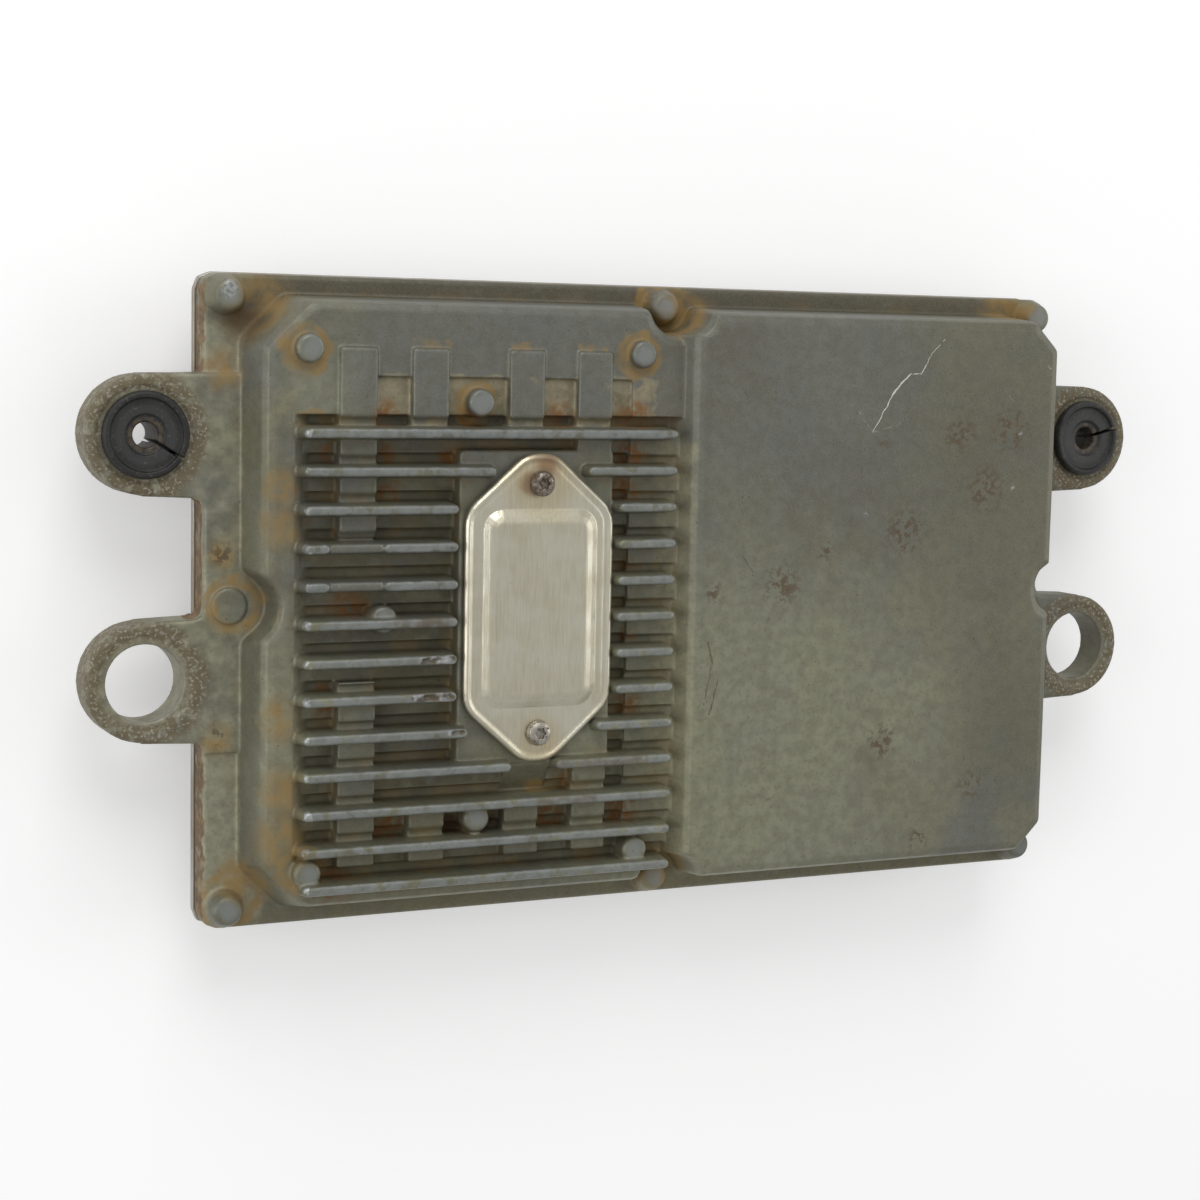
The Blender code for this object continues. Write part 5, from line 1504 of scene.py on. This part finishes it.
class Finishes:
    """Every material of the part, built once."""

    def __init__(self) -> None:
        """Builds the shared effects and then each material."""
        effects = Effects()
        self.casting = {zone: CastFinish(zone).material(effects) for zone in Zone}
        self.port_sheet = SheetFinish(
            name="port_sheet",
            metal=(0.640, 0.615, 0.500),
            stain=(0.400, 0.340, 0.210),
            edge=(0.960, 0.900, 0.740),
            stain_size=9.0,
            # Near-white edge colour: painted highlight along the rolled rim, with wear.
            stain_share=0.40,
            roughness=0.33,
            rust_spots=(
                Spot((-46.2, 33.5, 42.3), 1.6, 3.6),
                Spot((-41.5, 39.0, 42.3), 1.2, 5.5),
                Spot((-43.1, -36.9, 42.3), 2.6, 1.4),
            ),
            yellowed=(Spot((-43.1, 36.0, 42.3), 7.0, 9.0), Spot((-43.1, -40.0, 42.3), 3.0, 8.0)),
        ).material(effects)
        self.rear_sheet = SheetFinish(
            name="rear_sheet",
            metal=(0.400, 0.400, 0.370),
            stain=(0.190, 0.135, 0.078),
            edge=(0.50, 0.42, 0.32),
            stain_size=18.0,
            stain_share=0.65,
            roughness=0.42,
        ).material(effects)
        self.screw_dark = SteelFinish(
            "rusty_steel", (0.30, 0.27, 0.23), (0.085, 0.048, 0.024), 0.38, 0.62
        ).material(effects)
        self.screw_bright = SteelFinish(
            "bright_steel", (0.47, 0.44, 0.38), (0.075, 0.048, 0.028), 0.52, 0.70
        ).material(effects)
        self.rubber: dict[str, bpy.types.Material] = {}
        for side, x, angle in (("left", -EAR_X, SLIT_ANGLES[0]), ("right", EAR_X, SLIT_ANGLES[1])):
            finish = RubberFinish(f"grommet_rubber_{side}", (x, EAR_HEIGHTS[0]), angle)
            self.rubber[side] = finish.material(effects)
        self.gasket = MattFinish(
            "gasket_rubber", (0.018, 0.018, 0.017), (0.032, 0.028, 0.022), 6.0, 0.5, 0.05, 0.7,
            dust=(0.10, 0.07, 0.04), dust_share=0.4,
        ).material(effects)
        self.moulding = MattFinish(
            "socket_moulding", (0.016, 0.016, 0.017), (0.026, 0.025, 0.024), 7.0, 0.3, 0.03, 0.42,
            dust=(0.09, 0.085, 0.07), dust_share=0.25,
        ).material(effects)
        self.pins = PinFinish().material(effects)
        self.board = MattFinish(
            "circuit_board", (0.012, 0.070, 0.030), (0.016, 0.095, 0.042), 3.0, 0.5, 0.03, 0.38
        ).material(effects)
        self.can = MattFinish(
            "capacitor_can", (0.035, 0.035, 0.038), (0.052, 0.052, 0.055), 6.0, 0.4, 0.01, 0.3
        ).material(effects)
        self.ferrite = MattFinish(
            "ferrite", (0.045, 0.045, 0.048), (0.07, 0.068, 0.066), 3.0, 0.3, 0.05, 0.7
        ).material(effects)
        self.package = MattFinish(
            "chip_package", (0.020, 0.020, 0.021), (0.030, 0.030, 0.030), 4.0, 0.2, 0.02, 0.5
        ).material(effects)
        self.heat_pad = MattFinish(
            "heat_pad", (0.24, 0.27, 0.30), (0.29, 0.32, 0.35), 4.0, 0.5, 0.03, 0.8
        ).material(effects)


def wave_noise(points: np.ndarray, size: float, seed: int) -> np.ndarray:
    """Reads a smooth noise made of crossing waves.

    Args:
        points: Points in millimetres, one a row.
        size: The size of its features, in millimetres.
        seed: Which noise it is.

    Returns:
        A value from about -1 to 1 at each point.
    """
    draws = np.random.default_rng(seed)
    total = np.zeros(len(points))
    waves = 14
    for _ in range(waves):
        direction = draws.normal(size=3)
        direction /= np.linalg.norm(direction)
        length = size * draws.uniform(1.2, 2.8)
        phase = draws.uniform(0.0, 2.0 * np.pi)
        total += np.sin(points @ direction * (2.0 * np.pi / length) + phase)
    return total / np.sqrt(waves)


def near_line(points: np.ndarray, line: Line) -> tuple[np.ndarray, np.ndarray]:
    """Measures points against a line.

    Args:
        points: Points in millimetres, one a row.
        line: The line.

    Returns:
        How far each point lies from the line, and how far along it, from 0 to 1.
    """
    start, end = np.array(line.start), np.array(line.end)
    along = end - start
    share = np.clip((points - start) @ along / (along @ along), 0.0, 1.0)
    return np.linalg.norm(points - start - share[:, None] * along, axis=1), share


@dataclass(frozen=True)
class Round:
    """A true circle about an upright axis that a wall of a piece follows, in millimetres."""

    centre: tuple[float, float]
    radius: float
    low: float
    high: float
    half_turn: float = 180.0
    facing: float = 0.0
    reach: float = 2.4
    steps: int = 90

    def true_up(self, points: np.ndarray, normals: np.ndarray) -> None:
        """Moves a faceted wall, and what lies near it, onto the circle.

        Args:
            points: Points in millimetres, one a row, which are moved.
            normals: The surface's direction at each point.
        """
        flat = points[:, :2] - np.array(self.centre)
        away = np.linalg.norm(flat, axis=1)
        angle = np.arctan2(flat[:, 1], flat[:, 0])
        turned = np.abs((np.degrees(angle) - self.facing + 180.0) % 360.0 - 180.0)
        level = (points[:, 2] > self.low) & (points[:, 2] < self.high)
        near = level & (turned < self.half_turn) & (np.abs(away - self.radius) < self.reach)
        wall = near & (np.abs(normals[:, 2]) < 0.25) & (np.abs(away - self.radius) < 0.7)
        bins = ((angle + np.pi) / (2.0 * np.pi) * self.steps).astype(int) % self.steps
        count = np.bincount(bins[wall], minlength=self.steps)
        total = np.bincount(bins[wall], weights=away[wall], minlength=self.steps)
        found = count > 0
        if not found.any():
            return
        places = (np.arange(self.steps) + 0.5) / self.steps * 2.0 * np.pi - np.pi
        error = self.radius - total[found] / count[found]
        shift = np.interp(angle[near], places[found], error, period=2.0 * np.pi)
        fade = np.clip(1.5 * (1.0 - np.abs(away[near] - self.radius) / self.reach), 0.0, 1.0)
        points[near, :2] += (shift * fade / away[near])[:, None] * flat[near]


@dataclass
class RefinedPiece:
    """A piece remeshed from its CAD node, so that its edges are soft as cast, pressed or moulded."""

    node: str
    name: str
    slot: str
    voxel: float
    passes: int
    triangles: int
    relief: Relief = Relief.PLAIN
    rounds: tuple[Round, ...] = ()

    def build(self, material: bpy.types.Material) -> bpy.types.Object:
        """Makes the piece and lets it stand for its node.

        Args:
            material: Its finish.

        Returns:
            The piece.
        """
        coarser = 1.0
        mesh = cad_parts[self.node].data.copy()
        mesh.materials.clear()
        piece = bpy.data.objects.new(self.name, mesh)
        bpy.context.scene.collection.objects.link(piece)
        remesh = piece.modifiers.new("remesh", "REMESH")
        remesh.mode = "VOXEL"
        remesh.voxel_size = self.voxel * coarser * MM
        soften = piece.modifiers.new("soften", "SMOOTH")
        soften.factor = 0.5
        soften.iterations = self.passes
        self.apply(piece)
        self.disturb(piece.data)
        faces = 2 * len(piece.data.polygons)
        if faces > self.triangles:
            thin = piece.modifiers.new("thin", "DECIMATE")
            thin.ratio = self.triangles / faces
            self.apply(piece)
        piece.data.shade_smooth()
        piece.data.materials.append(material)
        weigh = piece.modifiers.new("weigh", "WEIGHTED_NORMAL")
        weigh.mode = "FACE_AREA"
        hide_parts(self.node)
        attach(piece, BODY)
        LOG.info("%s: %d faces", self.name, len(piece.data.polygons))
        return piece

    def apply(self, piece: bpy.types.Object) -> None:
        """Turns the piece's modifiers into its mesh.

        Args:
            piece: The piece.
        """
        ready = piece.evaluated_get(bpy.context.evaluated_depsgraph_get())
        mesh = bpy.data.meshes.new_from_object(ready)
        mesh.name = self.name
        piece.modifiers.clear()
        piece.data = mesh

    def disturb(self, mesh: bpy.types.Mesh) -> None:
        """Makes round walls truly round, and moves points a little as casting and knocks leave them.

        Args:
            mesh: The remeshed mesh.
        """
        flat = np.empty(3 * len(mesh.vertices), np.float32)
        mesh.vertices.foreach_get("co", flat)
        points = flat.reshape(-1, 3).astype(float) / MM
        mesh.vertex_normals.foreach_get("vector", flat)
        normals = flat.reshape(-1, 3).astype(float)
        for circle in self.rounds:
            circle.true_up(points, normals)
        if self.relief is Relief.CAST:
            points[:, 2] -= self.cast_relief(points)
        elif self.relief is Relief.STAMPED:
            points[:, 2] += self.rolled_rim(points, normals)
            points[:, 2] -= SHEET_WAVE + SHEET_WAVE * wave_noise(points, 14.0, 5)
        mesh.vertices.foreach_set("co", (points * MM).astype(np.float32).ravel())
        mesh.update()

    def rolled_rim(self, points: np.ndarray, normals: np.ndarray) -> np.ndarray:
        """Works out the bead and the groove that follow the outline of the stamped cover.

        Args:
            points: Points in millimetres, one a row.
            normals: The surface's direction at each point.

        Returns:
            How far each point is raised, in millimetres.
        """
        sheet = points[:, 2] < SHEET_TOP + 0.3
        wall = points[sheet & (np.abs(normals[:, 2]) < 0.5)]
        centre = 0.5 * (wall.min(axis=0) + wall.max(axis=0))
        away = np.linalg.norm((wall - centre)[:, :2] / (1.0, COVER_SLENDERNESS), axis=1)
        outline = wall[away > OUTLINE_REACH]
        tree = KDTree(len(outline))
        for number, place in enumerate(outline):
            tree.insert((place[0], place[1], 0.0), number)
        tree.balance()
        raised = np.zeros(len(points))
        for number in np.flatnonzero(sheet & (normals[:, 2] > 0.2)):
            inward = tree.find((points[number, 0], points[number, 1], 0.0))[2]
            bead = BEAD_HEIGHT * np.exp(-(((inward - BEAD_INWARD) / BEAD_WIDTH) ** 2))
            groove = GROOVE_DEPTH * np.exp(-(((inward - GROOVE_INWARD) / GROOVE_WIDTH) ** 2))
            raised[number] = bead - groove
        return raised

    def cast_relief(self, points: np.ndarray) -> np.ndarray:
        """Works out how far each point of the casting is sunk.

        Args:
            points: Points in millimetres, one a row.

        Returns:
            The depth at each point, in millimetres.
        """
        finish = CastFinish(Zone.FINS)
        facing = points[:, 2] > 26.0
        depth = np.where(facing, 0.06 + CAST_WAVE * wave_noise(points, 9.0, 1), 0.0)
        for chip in finish.chips:
            away, share = near_line(points, chip)
            leaf = 0.5 * chip.width * np.sqrt(np.clip(share, 0.02, 1.0))
            rough = 1.0 + 0.5 * wave_noise(points, 1.6, 2)
            depth += np.where(away < leaf, CHIP_DEPTH * rough * (1.0 - (away / leaf) ** 2), 0.0)
        for cut in finish.gouge:
            away, _ = near_line(points, cut)
            reach = 0.5 * cut.width * (1.0 + 0.4 * wave_noise(points, 4.0, 3))
            inner = 1.0 - (away / np.maximum(reach, 0.1)) ** 2
            depth += np.where(away < reach, GOUGE_DEPTH * inner, 0.0)
        return depth


@dataclass
class Housing:
    """The die-cast upper housing with its fins, pads, bosses and ears."""

    voxel: float = 0.42
    passes: int = 3
    triangles: int = 190000
    ear_arc: float = 86.0
    hole_reach: float = 1.2

    def build(self, finishes: Finishes) -> None:
        """Remeshes the casting so that every edge and root is rounded.

        Args:
            finishes: The part's materials.
        """
        piece = RefinedPiece(
            "upper_housing",
            "cast_housing",
            "casting",
            self.voxel,
            self.passes,
            self.triangles,
            Relief.CAST,
            self.rounds(),
        ).build(finishes.casting[Zone.FLANGE])
        mesh = piece.data
        flat = np.empty(3 * len(mesh.polygons), np.float32)
        mesh.polygons.foreach_get("center", flat)
        centres = flat.reshape(-1, 3).astype(float) / MM
        slots = np.zeros(len(centres), np.int32)
        for number, zone in enumerate((Zone.FINS, Zone.BOX), start=1):
            mesh.materials.append(finishes.casting[zone])
            slots[zone.holds(centres)] = number
        mesh.polygons.foreach_set("material_index", slots)

    def rounds(self) -> tuple[Round, ...]:
        """Lists the circles of the ears: outer arc, hole and lip.

        Returns:
            The circles.
        """
        found: list[Round] = []
        for centre in EAR_CENTRES:
            facing = 180.0 if centre[0] < 0.0 else 0.0
            found.append(Round(centre, EAR_RADIUS, EAR_LOW, EAR_HIGH, self.ear_arc, facing))
            found.append(Round(centre, EAR_HOLE, EAR_LOW, LIP_LOW, reach=self.hole_reach))
            found.append(Round(centre, EAR_LIP, LIP_LOW, EAR_HIGH, reach=self.hole_reach))
        return tuple(found)


@dataclass
class Port:
    """The stamped port cover with its gasket and its two star-socket screws."""

    sheet_voxel: float = 0.20
    sheet_passes: int = 4
    sheet_triangles: int = 90000
    screw_voxel: float = 0.12
    screw_passes: int = 2
    screw_triangles: int = 24000

    def build(self, finishes: Finishes) -> None:
        """Remeshes the cover and its screws, and dresses the gasket.

        Args:
            finishes: The part's materials.
        """
        RefinedPiece(
            "port_cover",
            "stamped_port_cover",
            "tinplate",
            self.sheet_voxel,
            self.sheet_passes,
            self.sheet_triangles,
            Relief.STAMPED,
        ).build(finishes.port_sheet)
        for number, material in ((1, finishes.screw_dark), (2, finishes.screw_bright)):
            RefinedPiece(
                f"port_screw_{number}",
                f"star_screw_{number}",
                "steel",
                self.screw_voxel,
                self.screw_passes,
                self.screw_triangles,
            ).build(material)
        dress("port_cover_gasket", finishes.gasket)


@dataclass
class Grommets:
    """The two slit rubber grommets in the upper ears."""

    voxel: float = 0.22
    passes: int = 3
    triangles: int = 40000
    low: float = 10.0
    high: float = 32.0
    reach: float = 1.4

    def build(self, finishes: Finishes) -> None:
        """Remeshes both grommets with moulded edges.

        Args:
            finishes: The part's materials.
        """
        for side in ("left", "right"):
            centre = (-EAR_X if side == "left" else EAR_X, EAR_HEIGHTS[0])
            rim = Round(centre, GROMMET_RIM, self.low, self.high, reach=self.reach)
            bore = Round(centre, GROMMET_BORE, self.low, self.high, reach=self.reach)
            RefinedPiece(
                f"grommet_{side}",
                f"rubber_grommet_{side}",
                "rubber",
                self.voxel,
                self.passes,
                self.triangles,
                rounds=(rim, bore),
            ).build(finishes.rubber[side])


def dress(prefix: str, material: bpy.types.Material) -> None:
    """Gives a finish to every CAD node whose name starts with the prefix.

    Args:
        prefix: The start of the nodes' names.
        material: The finish.
    """
    for name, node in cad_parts.items():
        if name.startswith(prefix):
            node.data.materials.clear()
            node.data.materials.append(material)
            LOG.info("%s: %s", name, material.name)


@dataclass
class Underside:
    """The rear cover with its gasket, screws and three connector sockets."""

    cover_voxel: float = 0.5
    cover_passes: int = 4
    cover_triangles: int = 120000

    def build(self, finishes: Finishes) -> None:
        """Remeshes the drawn cover and dresses the other pieces of the back.

        Args:
            finishes: The part's materials.
        """
        RefinedPiece(
            "rear_cover",
            "drawn_rear_cover",
            "cover_sheet",
            self.cover_voxel,
            self.cover_passes,
            self.cover_triangles,
        ).build(finishes.rear_sheet)
        dress("cover_screw", finishes.screw_dark)
        dress("housing_gasket", finishes.gasket)
        dress("socket_seal", finishes.gasket)
        dress("socket_shroud", finishes.moulding)
        dress("pin_block", finishes.pins)


@dataclass
class Electronics:
    """The two boards and what stands on them, out of sight in the closed housing."""

    screw_prefixes: tuple[str, ...] = ("power_board_screw", "logic_board_screw")

    def build(self, finishes: Finishes) -> None:
        """Dresses each inner piece.

        Args:
            finishes: The part's materials.
        """
        dress("power_board", finishes.board)
        dress("logic_board", finishes.board)
        for prefix in self.screw_prefixes:
            dress(prefix, finishes.screw_bright)
        dress("capacitor", finishes.can)
        dress("boost_inductor", finishes.ferrite)
        dress("heat_pad", finishes.heat_pad)
        for prefix in ("processor", "memory_chip", "transistor_row"):
            dress(prefix, finishes.package)
        for prefix in ("board_header", "service_header"):
            dress(prefix, finishes.moulding)


@dataclass
class Lamp:
    """A soft square lamp."""

    name: str
    place: Point3
    side: float
    power: float

    def build(self, target: Vector) -> None:
        """Hangs the lamp and turns it to the target.

        Args:
            target: The point that it lights.
        """
        data = bpy.data.lights.new(self.name, "AREA")
        data.shape = "SQUARE"
        data.size = self.side
        data.energy = self.power
        lamp = bpy.data.objects.new(self.name, data)
        bpy.context.scene.collection.objects.link(lamp)
        lamp.location = self.place
        lamp.rotation_euler = (target - lamp.location).to_track_quat("-Z", "Y").to_euler()


@dataclass
class Studio:
    """A pale floor, soft lamps and the camera at the photograph's angle."""

    floor_half: float = 6.0
    floor_colour: Rgb = (0.80, 0.80, 0.80)
    floor_glow: float = 0.30
    sky: float = 0.62
    lens: float = 70.4745
    sensor: float = 36.0
    camera_place: Point3 = (-0.30585, 0.07012, 0.64488)
    turn_z: float = -0.0199643
    turn_x: float = 0.1045150
    turn_y: float = 0.4369976
    lamps: tuple[Lamp, ...] = (
        Lamp("lamp_top", (-0.25, 1.25, 1.00), 0.9, 9.0),
        Lamp("lamp_left", (-1.30, 0.10, 0.75), 0.8, 4.5),
        Lamp("lamp_right", (1.25, 0.20, 0.65), 0.8, 3.5),
    )

    def build(self) -> None:
        """Builds the floor, the lamps, the world and the camera."""
        self.build_floor()
        middle = Vector((0.0, 0.0, 0.03))
        for lamp in self.lamps:
            lamp.build(middle)
        self.build_world()
        self.build_camera()
        bpy.context.scene.view_settings.view_transform = "Standard"

    def background_rays(self, tree: Tree) -> bpy.types.NodeSocket:
        """Tells the rays that show the background from those that light the part.

        Args:
            tree: The floor's node tree.

        Returns:
            1 for rays from the camera, from gloss and through glass, and 0 for light.
        """
        path = tree.add("ShaderNodeLightPath", {}).outputs
        seen = tree.math("MAXIMUM", path["Is Camera Ray"], path["Is Glossy Ray"])
        return tree.math("MAXIMUM", seen, path["Is Transmission Ray"])

    def build_floor(self) -> None:
        """Lays the floor that the part rests on."""
        half = self.floor_half
        mesh = bpy.data.meshes.new("floor")
        corners = [(-half, -half, 0.0), (half, -half, 0.0), (half, half, 0.0), (-half, half, 0.0)]
        mesh.from_pydata(corners, [], [(0, 1, 2, 3)])
        floor = bpy.data.objects.new("floor", mesh)
        bpy.context.scene.collection.objects.link(floor)
        material = bpy.data.materials.new("pale_floor")
        material.use_nodes = True
        material.node_tree.nodes.clear()
        tree = Tree(material.node_tree)
        matt = tree.add("ShaderNodeBsdfDiffuse", {"Color": rgba(self.floor_colour)})
        strength = tree.math("MULTIPLY", self.background_rays(tree), self.floor_glow)
        glow = tree.add("ShaderNodeEmission", {"Strength": strength})
        both = tree.add("ShaderNodeAddShader", {0: matt.outputs[0], 1: glow.outputs[0]})
        tree.add("ShaderNodeOutputMaterial", {"Surface": both.outputs[0]})
        mesh.materials.append(material)

    def build_world(self) -> None:
        """Makes the white surroundings that light the part evenly."""
        world = bpy.data.worlds.new("studio")
        world.use_nodes = True
        world.node_tree.nodes.clear()
        tree = Tree(world.node_tree)
        path = tree.add("ShaderNodeLightPath", {}).outputs
        strength = tree.blend_value(path["Is Camera Ray"], self.sky, 1.0)
        sky = tree.add("ShaderNodeBackground", {"Strength": strength})
        tree.add("ShaderNodeOutputWorld", {"Surface": sky.outputs[0]})
        bpy.context.scene.world = world

    def build_camera(self) -> None:
        """Sets the camera where the photograph was taken from."""
        data = bpy.data.cameras.new("camera")
        data.sensor_width = self.sensor
        data.lens = self.lens
        data.clip_start = 0.01
        camera = bpy.data.objects.new("camera", data)
        bpy.context.scene.collection.objects.link(camera)
        turn = (
            Matrix.Rotation(self.turn_z, 3, "Z")
            @ Matrix.Rotation(self.turn_x, 3, "X")
            @ Matrix.Rotation(self.turn_y, 3, "Y")
        )
        camera.matrix_world = Matrix.Translation(self.camera_place) @ turn.transposed().to_4x4()
        bpy.context.scene.camera = camera


def main() -> None:
    """Builds the studio and every sub-assembly."""
    logging.basicConfig(level=logging.INFO, format="%(name)s %(message)s")
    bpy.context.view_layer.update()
    Studio().build()
    finishes = Finishes()
    for assembly in (Housing(), Port(), Grommets(), Underside(), Electronics()):
        assembly.build(finishes)
        LOG.info("built %s", type(assembly).__name__)


if __name__ == "__main__":
    main()
